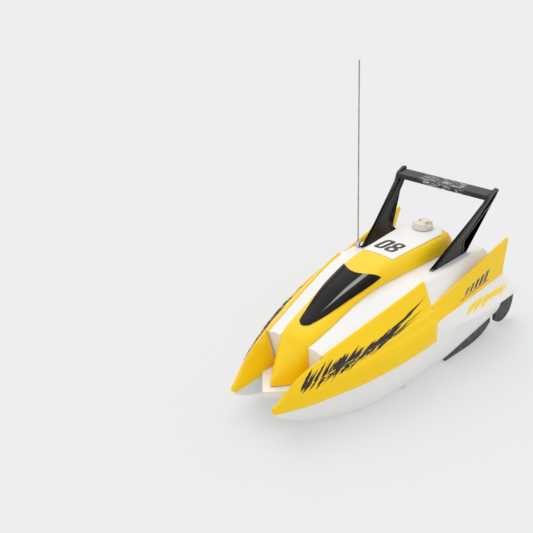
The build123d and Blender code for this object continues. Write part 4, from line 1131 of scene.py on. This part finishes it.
INK_YELLOW = finish_material("printed_yellow", (1.0, 0.74, 0.03), (0.98, 0.68, 0.02), gloss=0.4, flow=90.0,
                             wear=0.0, dust=0.02)
INK_GREY = finish_material("printed_grey", (0.05, 0.045, 0.05), (0.16, 0.15, 0.15), gloss=0.4, flow=140.0,
                           wear=0.0, dust=0.02)
print(len(FINISHES), "finishes and 3 inks")

# %% [markdown]
# Two finishes have a feature of their own. The smoked windscreen gets a painted reflection, a light grey band
# on its port side, drawn from its own surface coordinates. The wing has a worn silver rub in its middle,
# where a print has flaked away, so noise cuts a silver band into scraps.

# %% Painted reflection and rub
uv = screen.data.uv_layers.new(name="across_along")
for loop in screen.data.loops:
    x, y, z = screen.data.vertices[loop.vertex_index].co
    uv.data[loop.index].uv = (x / SIDE / 40 + 0.5, ((y - TRANSOM) / STEP + 264 - 59.5) / 77)

SCREEN = FINISHES["screen_black"]
tree = SCREEN.node_tree
shader = tree.nodes["Principled BSDF"]
uv_node = tree.nodes.new("ShaderNodeUVMap")
uv_node.uv_map = "across_along"
axes = tree.nodes.new("ShaderNodeSeparateXYZ")
tree.links.new(uv_node.outputs[0], axes.inputs[0])
# A lengthwise band on the port side of the screen, mixed into its base colour as light grey: a painted
# reflection.
spread_out = math_node(tree, "MULTIPLY", axes.outputs["Y"], 0.22)
centre = math_node(tree, "ADD", spread_out, 0.575)
offset = math_node(tree, "ABSOLUTE", math_node(tree, "SUBTRACT", axes.outputs["X"], centre))
half = math_node(tree, "MULTIPLY", ramp(tree, axes.outputs["Y"], 0.10, 0.75), 0.052)
inside = math_node(tree, "SUBTRACT", half, offset)
crisp = ramp(tree, inside, 0.0, 0.012)
before_rear = ramp(tree, axes.outputs["Y"], 0.97, 0.93)
painted_reflection_band = math_node(tree, "MULTIPLY", crisp, before_rear)
plain = shader.inputs["Base Color"].links[0].from_socket
tree.links.new(mix_colour(tree, painted_reflection_band, plain, (0.30, 0.30, 0.29, 1)), shader.inputs["Base Color"])

WING_FINISH = FINISHES["arch_black"].copy()
WING_FINISH.name = "arch_black_rubbed"
tree = WING_FINISH.node_tree
shader = tree.nodes["Principled BSDF"]
object_place = tree.nodes.new("ShaderNodeTexCoord")
axes = tree.nodes.new("ShaderNodeSeparateXYZ")
tree.links.new(object_place.outputs["Object"], axes.inputs[0])
near_middle = ramp(tree, math_node(tree, "ABSOLUTE", axes.outputs["X"]), 0.026, 0.020)
long_map = tree.nodes.new("ShaderNodeMapping")
long_map.inputs["Scale"].default_value = (0.22, 1.3, 1.3)
tree.links.new(object_place.outputs["Object"], long_map.inputs["Vector"])
flakes = ramp(tree, noise(tree, long_map.outputs[0], 520.0, 6.0, 0.75), 0.50, 0.57)
rub = math_node(tree, "MULTIPLY", math_node(tree, "MULTIPLY", near_middle, flakes), 0.75)
plain = shader.inputs["Base Color"].links[0].from_socket
tree.links.new(mix_colour(tree, rub, plain, (0.58, 0.61, 0.63, 1)), shader.inputs["Base Color"])
print("stripe and rub ready")

# %% [markdown]
# ## The shells get their finish
# Each new shell rides on the body of the frame node that it stands for and takes that node's place.

# %% Put the shells in place
cover_port = new_mesh("port_cover_shell", *cover_shape)
cover_starboard = new_mesh("starboard_cover_shell", *mirrored(*cover_shape))
fin_port = new_mesh("port_tail_fin", *fin_shape)
fin_starboard = new_mesh("starboard_tail_fin", *mirrored(*fin_shape))
for piece in (cover_port, cover_starboard, fin_port, fin_starboard):
    outward(piece)


def face_away(piece, direction):
    """Flip an open sheet whose faces look against a direction."""
    total = sum((face.normal * face.area for face in piece.data.polygons), Vector())
    if total.dot(Vector(direction)) < 0:
        piece.data.flip_normals()


face_away(cover_port, (1, 0, 1))
face_away(cover_starboard, (-1, 0, 1))
for piece in (cover_port, cover_starboard):
    thicken(piece, 1.0 * MM)

YELLOW_PLASTIC = FINISHES["yellow_plastic"]
finish(hull, FINISHES["hull_white"], "hull", ["hull_lower"], bevel=0.35 * MM)
finish(deck, FINISHES["white_plastic"], "hull", ["deck_upper"], bevel=0.4 * MM)
for piece, node_name, edge_width in ((cover_port, "port_sponson_cover", 0.3),
                                     (cover_starboard, "starboard_sponson_cover", 0.3),
                                     (fin_port, "port_fin", 0.6), (fin_starboard, "starboard_fin", 0.6)):
    finish(piece, YELLOW_PLASTIC, "hull", [node_name], bevel=edge_width * MM)
finish(cowl, YELLOW_PLASTIC, "cowl", ["cowl"], bevel=0.3 * MM)
finish(screen, SCREEN, "cowl", ["windscreen"], bevel=0.25 * MM)
finish(plate, FINISHES["white_plastic"], "cowl", ["roof_plate"], bevel=0.25 * MM)
finish(wing, WING_FINISH, "hull", ["arch_wing"], bevel=0.2 * MM)
for side, strut in struts.items():
    finish(strut, FINISHES["arch_black"], "hull", [f"arch_{side}_strut"], bevel=0.3 * MM)

inks = {"port_slashes": (port_slashes, INK_BLACK, "hull"),
        "starboard_slashes": (starboard_slashes, INK_BLACK, "hull"),
        "flare_marks": (yellow_marks, INK_YELLOW, "hull"), "fin_marks": (fin_marks, INK_GREY, "hull"),
        "race_number": (number_shape, INK_BLACK, "cowl")}
for name, (shape, ink, body) in inks.items():
    print_piece = new_mesh(name, *shape)
    outward(print_piece)
    finish(print_piece, ink, body)

# %% [markdown]
# ## Screws and propellers by Geometry Nodes
# These repeat, so each is one detailed mesh that a node tree copies. One tree seats a screw on every
# point, with its shank along a given direction and a seeded spin, and the other turns blades round a
# hub. The points come from the frame's own screws, so every copy sits where the frame has it.

# %% Node tree helpers
def geometry_group(name, inputs):
    """Geometry node group with a geometry input and output and named inputs."""
    group = bpy.data.node_groups.new(name, "GeometryNodeTree")
    group.interface.new_socket(name="Geometry", in_out="INPUT", socket_type="NodeSocketGeometry")
    for label, kind in inputs:
        group.interface.new_socket(name=label, in_out="INPUT", socket_type="NodeSocket" + kind)
    group.interface.new_socket(name="Geometry", in_out="OUTPUT", socket_type="NodeSocketGeometry")
    return group, group.nodes.new("NodeGroupInput"), group.nodes.new("NodeGroupOutput")


def grown(name, seed_shape, group, values):
    """Mesh object that a node tree makes from a shape, with the tree's named inputs set."""
    piece = new_mesh(name, *seed_shape)
    tree = piece.modifiers.new("grow", "NODES")
    tree.node_group = group
    sockets = {item.name: item.identifier for item in group.interface.items_tree if item.in_out == "INPUT"}
    for label, value in values.items():
        tree[sockets[label]] = value
    bpy.context.view_layer.update()
    bake_modifiers(piece)
    return piece


def lathe(profile, sides=32):
    """Closed turned shape about +Z from (radius, height) rows that start and end on the axis."""
    rows = []
    for a in np.linspace(0, 2 * math.pi, sides, endpoint=False):
        rows.append([(r * math.cos(a), r * math.sin(a), z) for r, z in profile])
    rows.append(rows[0])
    return grid(rows)


# %% Tree that seats screws
seat_group, seat_in, seat_out = geometry_group("seated_screws", [
    ("Screw", "Object"), ("Direction", "Vector"), ("Seed", "Int"), ("Material", "Material")])
nodes, links = seat_group.nodes, seat_group.links
screw_info = nodes.new("GeometryNodeObjectInfo")
links.new(seat_in.outputs["Screw"], screw_info.inputs["Object"])
aim = nodes.new("FunctionNodeAlignRotationToVector")
aim.axis = "Z"
links.new(seat_in.outputs["Direction"], aim.inputs["Vector"])
seated = nodes.new("GeometryNodeInstanceOnPoints")
links.new(seat_in.outputs["Geometry"], seated.inputs["Points"])
links.new(screw_info.outputs["Geometry"], seated.inputs["Instance"])
links.new(aim.outputs["Rotation"], seated.inputs["Rotation"])
spin = nodes.new("FunctionNodeRandomValue")
spin.data_type = "FLOAT"
next(i for i in spin.inputs if i.name == "Max" and i.type == "VALUE").default_value = 2 * math.pi
links.new(seat_in.outputs["Seed"], spin.inputs["Seed"])
about_axis = nodes.new("ShaderNodeCombineXYZ")
links.new(next(o for o in spin.outputs if o.type == "VALUE"), about_axis.inputs["Z"])
turned = nodes.new("GeometryNodeRotateInstances")
links.new(seated.outputs["Instances"], turned.inputs["Instances"])
links.new(about_axis.outputs[0], turned.inputs["Rotation"])
real = nodes.new("GeometryNodeRealizeInstances")
links.new(turned.outputs[0], real.inputs[0])
painted = nodes.new("GeometryNodeSetMaterial")
links.new(real.outputs[0], painted.inputs["Geometry"])
links.new(seat_in.outputs["Material"], painted.inputs["Material"])
links.new(painted.outputs[0], seat_out.inputs[0])


# %% [markdown]
# A screw of this size is a turned blank with rolled threads and a pressed cross recess. Its thread is
# drawn as close rings that shrink to a point, which reads as a thread at this scale.

# %% Screws
def screw_shape(head_radius, shank_radius, head_high, length):
    """Pan-head screw with its seat at the origin and its shank along +Z."""
    profile = [(0, -head_high), (0.45 * head_radius, -head_high), (0.80 * head_radius, -0.82 * head_high),
               (0.97 * head_radius, -0.45 * head_high), (head_radius, 0), (shank_radius * 0.86, 0)]
    turns = max(4, int(length / (0.62 * MM)))
    for k in range(turns):
        taper = 1 - 0.55 * max(0, (k / turns - 0.75) / 0.25)
        z = length * (k + 0.3) / (turns + 1)
        profile.append((shank_radius * 0.80 * taper, z))
        profile.append((shank_radius * taper, z + 0.35 * length / (turns + 1)))
    profile.append((0, length))
    return lathe(profile, 24)


def islands(node):
    """Vertex positions of each separate solid of a frame node, in metres."""
    bm = bmesh.new()
    bm.from_mesh(node.data)
    bmesh.ops.remove_doubles(bm, verts=bm.verts, dist=1e-5)
    left = set(bm.verts)
    found = []
    while left:
        stack = [left.pop()]
        group = []
        while stack:
            vertex = stack.pop()
            group.append(node.matrix_world @ vertex.co)
            for edge in vertex.link_edges:
                other = edge.other_vert(vertex)
                if other in left:
                    left.remove(other)
                    stack.append(other)
        found.append(np.array(group))
    bm.free()
    return found


def screw_seats(node, axis, sign):
    """Seat points of a node's screws, with the head's radius and height and the shank's length.
    They are sorted by place, so that each screw gets the same spin every time."""
    seats = []
    for cloud in islands(node):
        low, high = cloud.min(axis=0), cloud.max(axis=0)
        middle = (low + high) / 2
        across = np.delete(cloud - middle, axis, axis=1)
        reach = np.linalg.norm(across, axis=1)
        rim = cloud[reach > 0.97 * reach.max()][:, axis]
        seat = middle.copy()
        seat[axis] = rim.max() if sign > 0 else rim.min()
        end = high[axis] if sign > 0 else low[axis]
        seats.append((tuple(seat), reach.max(), rim.max() - rim.min(), abs(end - seat[axis])))
    return sorted(seats)


def recess(shape_object, head_radius, head_high):
    """Cut the cross recess into a screw's head."""
    bars = []
    for long_x, long_y in ((0.68, 0.17), (0.17, 0.68)):
        x, y = long_x * head_radius, long_y * head_radius
        bars.append(prism([(-x, -y), (x, -y), (x, y), (-x, y)], -1.2 * head_high, -0.45 * head_high))
    cut(shape_object, bars)


# Node, axis of its screws (0 is X, 1 is Y, 2 is Z) and the way their shanks point along it
SCREW_SETS = [("deck_screws", 2, 1), ("drive_cover_screws", 2, 1), ("bracket_screws", 1, -1),
              ("board_screws", 2, -1)]
SHANK_SHARE = 2.0 / 4.4
for seed, (name, axis, sign) in enumerate(SCREW_SETS):
    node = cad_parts[name]
    seats = screw_seats(node, axis, sign)
    _, head_radius, head_high, length = seats[0]
    blank = new_mesh("screw_blank", *screw_shape(head_radius, head_radius * SHANK_SHARE, head_high, length))
    outward(blank)
    recess(blank, head_radius, head_high)
    direction = [0.0, 0.0, 0.0]
    direction[axis] = float(sign)
    screws = grown(name + "_detailed", ([seat[0] for seat in seats], []), seat_group,
                   {"Screw": blank, "Direction": direction, "Seed": 4 + seed,
                    "Material": FINISHES["zinc_screw"]})
    bpy.data.objects.remove(blank)
    finish(screws, FINISHES["zinc_screw"], "hull", [name])
    print(name, len(seats), "screws")

# %% Tree that turns blades round a hub
blade_group, blade_in, blade_out = geometry_group("blades_round_hub", [
    ("Blade", "Object"), ("Blades", "Int"), ("Centre", "Vector"), ("Material", "Material")])
nodes, links = blade_group.nodes, blade_group.links
blade_info = nodes.new("GeometryNodeObjectInfo")
links.new(blade_in.outputs["Blade"], blade_info.inputs["Object"])
stations = nodes.new("GeometryNodePoints")
links.new(blade_in.outputs["Blades"], stations.inputs["Count"])
links.new(blade_in.outputs["Centre"], stations.inputs["Position"])
index = nodes.new("GeometryNodeInputIndex")
share = math_node(blade_group, "DIVIDE", index.outputs[0], blade_in.outputs["Blades"])
angle = nodes.new("ShaderNodeCombineXYZ")
links.new(math_node(blade_group, "MULTIPLY", share, 2 * math.pi), angle.inputs["Y"])
spread_blades = nodes.new("GeometryNodeInstanceOnPoints")
links.new(stations.outputs[0], spread_blades.inputs["Points"])
links.new(blade_info.outputs["Geometry"], spread_blades.inputs["Instance"])
links.new(angle.outputs[0], spread_blades.inputs["Rotation"])
together = nodes.new("GeometryNodeJoinGeometry")
links.new(spread_blades.outputs[0], together.inputs[0])
links.new(blade_in.outputs["Geometry"], together.inputs[0])
real = nodes.new("GeometryNodeRealizeInstances")
links.new(together.outputs[0], real.inputs[0])
painted = nodes.new("GeometryNodeSetMaterial")
links.new(real.outputs[0], painted.inputs["Geometry"])
links.new(blade_in.outputs["Material"], painted.inputs["Material"])
links.new(painted.outputs[0], blade_out.inputs[0])


# %% Propellers
def blade_rows(root, tip, chord, hand):
    """One twisted blade that stands along +Z, its root inside the hub."""
    rows = []
    for share in np.linspace(0, 1, 12):
        radius = root + (tip - root) * share
        pitch = math.radians(58 - 24 * share)
        wide = chord * (0.30 + 0.70 * math.sin(math.pi * min(1, 0.18 + 0.70 * share))) * (1 - 0.75 * share**7)
        thick = 0.9 * MM * (1 - 0.55 * share)
        section = []
        for a in np.linspace(0, 2 * math.pi, 20, endpoint=False):
            c, d = 0.5 * wide * math.cos(a), 0.5 * thick * math.sin(a)
            section.append((hand * (c * math.cos(pitch) - d * math.sin(pitch)),
                            c * math.sin(pitch) + d * math.cos(pitch), radius))
        rows.append(section)
    return grid(rows, wrap=True, first_cap=True, last_cap=True)


for side, hand in (("port", 1), ("starboard", -1)):
    name = f"{side}_propeller"
    low, high = (np.array(corner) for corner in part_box(name))
    shaft_low, shaft_high = (np.array(corner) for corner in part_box(f"{side}_prop_shaft"))
    centre = (low + high) / 2
    centre[[0, 2]] = ((shaft_low + shaft_high) / 2)[[0, 2]]
    reach = high[2] - centre[2]
    half = (high[1] - low[1]) / 2
    bore, hub = (shaft_high[0] - shaft_low[0]) / 2 + 0.02 * MM, 0.36 * reach
    profile = [(bore, -half), (0.82 * hub, -half), (hub, -0.82 * half), (hub, 0.55 * half),
               (0.86 * hub, 0.9 * half), (0.70 * hub, half), (bore, half), (bore, -half)]
    turned_hub, hub_faces = lathe(profile, 36)
    hub_points = [(centre[0] + x, centre[1] + z, centre[2] - y) for x, y, z in turned_hub]
    blade = new_mesh("blade_blank", *blade_rows(0.8 * hub, 0.985 * reach, 0.68 * reach, hand))
    outward(blade)
    propeller = grown(name + "_detailed", (hub_points, hub_faces), blade_group,
                      {"Blade": blade, "Blades": 3, "Centre": list(centre),
                       "Material": FINISHES["prop_plastic"]})
    bpy.data.objects.remove(blade)
    outward(propeller)
    finish(propeller, FINISHES["prop_plastic"], f"{side}_drive", [name])

# %% [markdown]
# ## Frame nodes that keep their own mesh
# Motors, shafts, leads and the receiver already have their true shape. They keep it, and only their
# plain material is exchanged for the finish of the same name.

# %% Finishes on the frame's own nodes
for name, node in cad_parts.items():
    for slot_number, old in enumerate(node.data.materials):
        node.data.materials[slot_number] = FINISHES[old.name.split(".")[0]]
print("finishes set on", len(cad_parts), "nodes")

# %% [markdown]
# ## Floor, light and camera
# A pale floor and very soft light keep the eye on the boat: bright surroundings and one sun as broad
# as a cloudy sky, high on the starboard quarter. The floor glows a little, like a lit table, so that
# shadows on it stay faint. The camera stands off the port bow.

# %% Stage
floor_mesh = new_mesh("studio_floor", [(-9, -9, 0), (9, -9, 0), (9, 9, 0), (-9, 9, 0)], [[0, 1, 2, 3]])
floor_paper = finish_material("floor_paper", (0.47, 0.47, 0.47), (0.46, 0.46, 0.46), gloss=0.9, wear=0.0,
                              dust=0.0, grain=0.0, flow=2.0, shine=0.0)
floor_glow = floor_paper.node_tree.nodes["Principled BSDF"]
floor_glow.inputs["Emission Color"].default_value = (1, 1, 1, 1)
floor_glow.inputs["Emission Strength"].default_value = 0.335
floor_mesh.data.materials.append(floor_paper)
floor_mesh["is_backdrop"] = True


sky_light = bpy.data.lights.new("cloudy_sun", "SUN")
sky_light.energy = 0.85
sky_light.angle = math.radians(58)
sun = bpy.data.objects.new("cloudy_sun", sky_light)
sun.rotation_euler = Vector((0.45, -0.30, -1.0)).to_track_quat("-Z", "Y").to_euler()
bpy.context.collection.objects.link(sun)
world = bpy.data.worlds.new("studio")
world.use_nodes = True
world.node_tree.nodes["Background"].inputs["Color"].default_value = (1.0, 1.0, 1.0, 1)
world.node_tree.nodes["Background"].inputs["Strength"].default_value = 0.88
bpy.context.scene.world = world
bpy.context.scene.view_settings.view_transform = "Standard"

# %% Camera
CAMERA_PLACE = Vector((0.4021, -0.5153, 0.4074))
PITCH = math.radians(25.77)
ROLL = math.radians(2.63)
forward = Vector((-0.7187 * math.cos(PITCH), 0.6953 * math.cos(PITCH), -math.sin(PITCH))).normalized()
level_right = forward.cross(Vector((0, 0, 1))).normalized()
level_up = level_right.cross(forward)
right = level_right * math.cos(ROLL) - level_up * math.sin(ROLL)
upright = level_up * math.cos(ROLL) + level_right * math.sin(ROLL)
lens = bpy.data.cameras.new("camera")
lens.lens = 56.19
lens.sensor_width = 36
lens.clip_start = 0.01
camera = bpy.data.objects.new("camera", lens)
turn = [[right[k], upright[k], -forward[k]] for k in range(3)]
camera.matrix_world = Matrix([(*turn[k], CAMERA_PLACE[k]) for k in range(3)] + [(0, 0, 0, 1)])
bpy.context.collection.objects.link(camera)
bpy.context.scene.camera = camera
print("camera at", tuple(round(v, 3) for v in CAMERA_PLACE))

low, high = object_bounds()
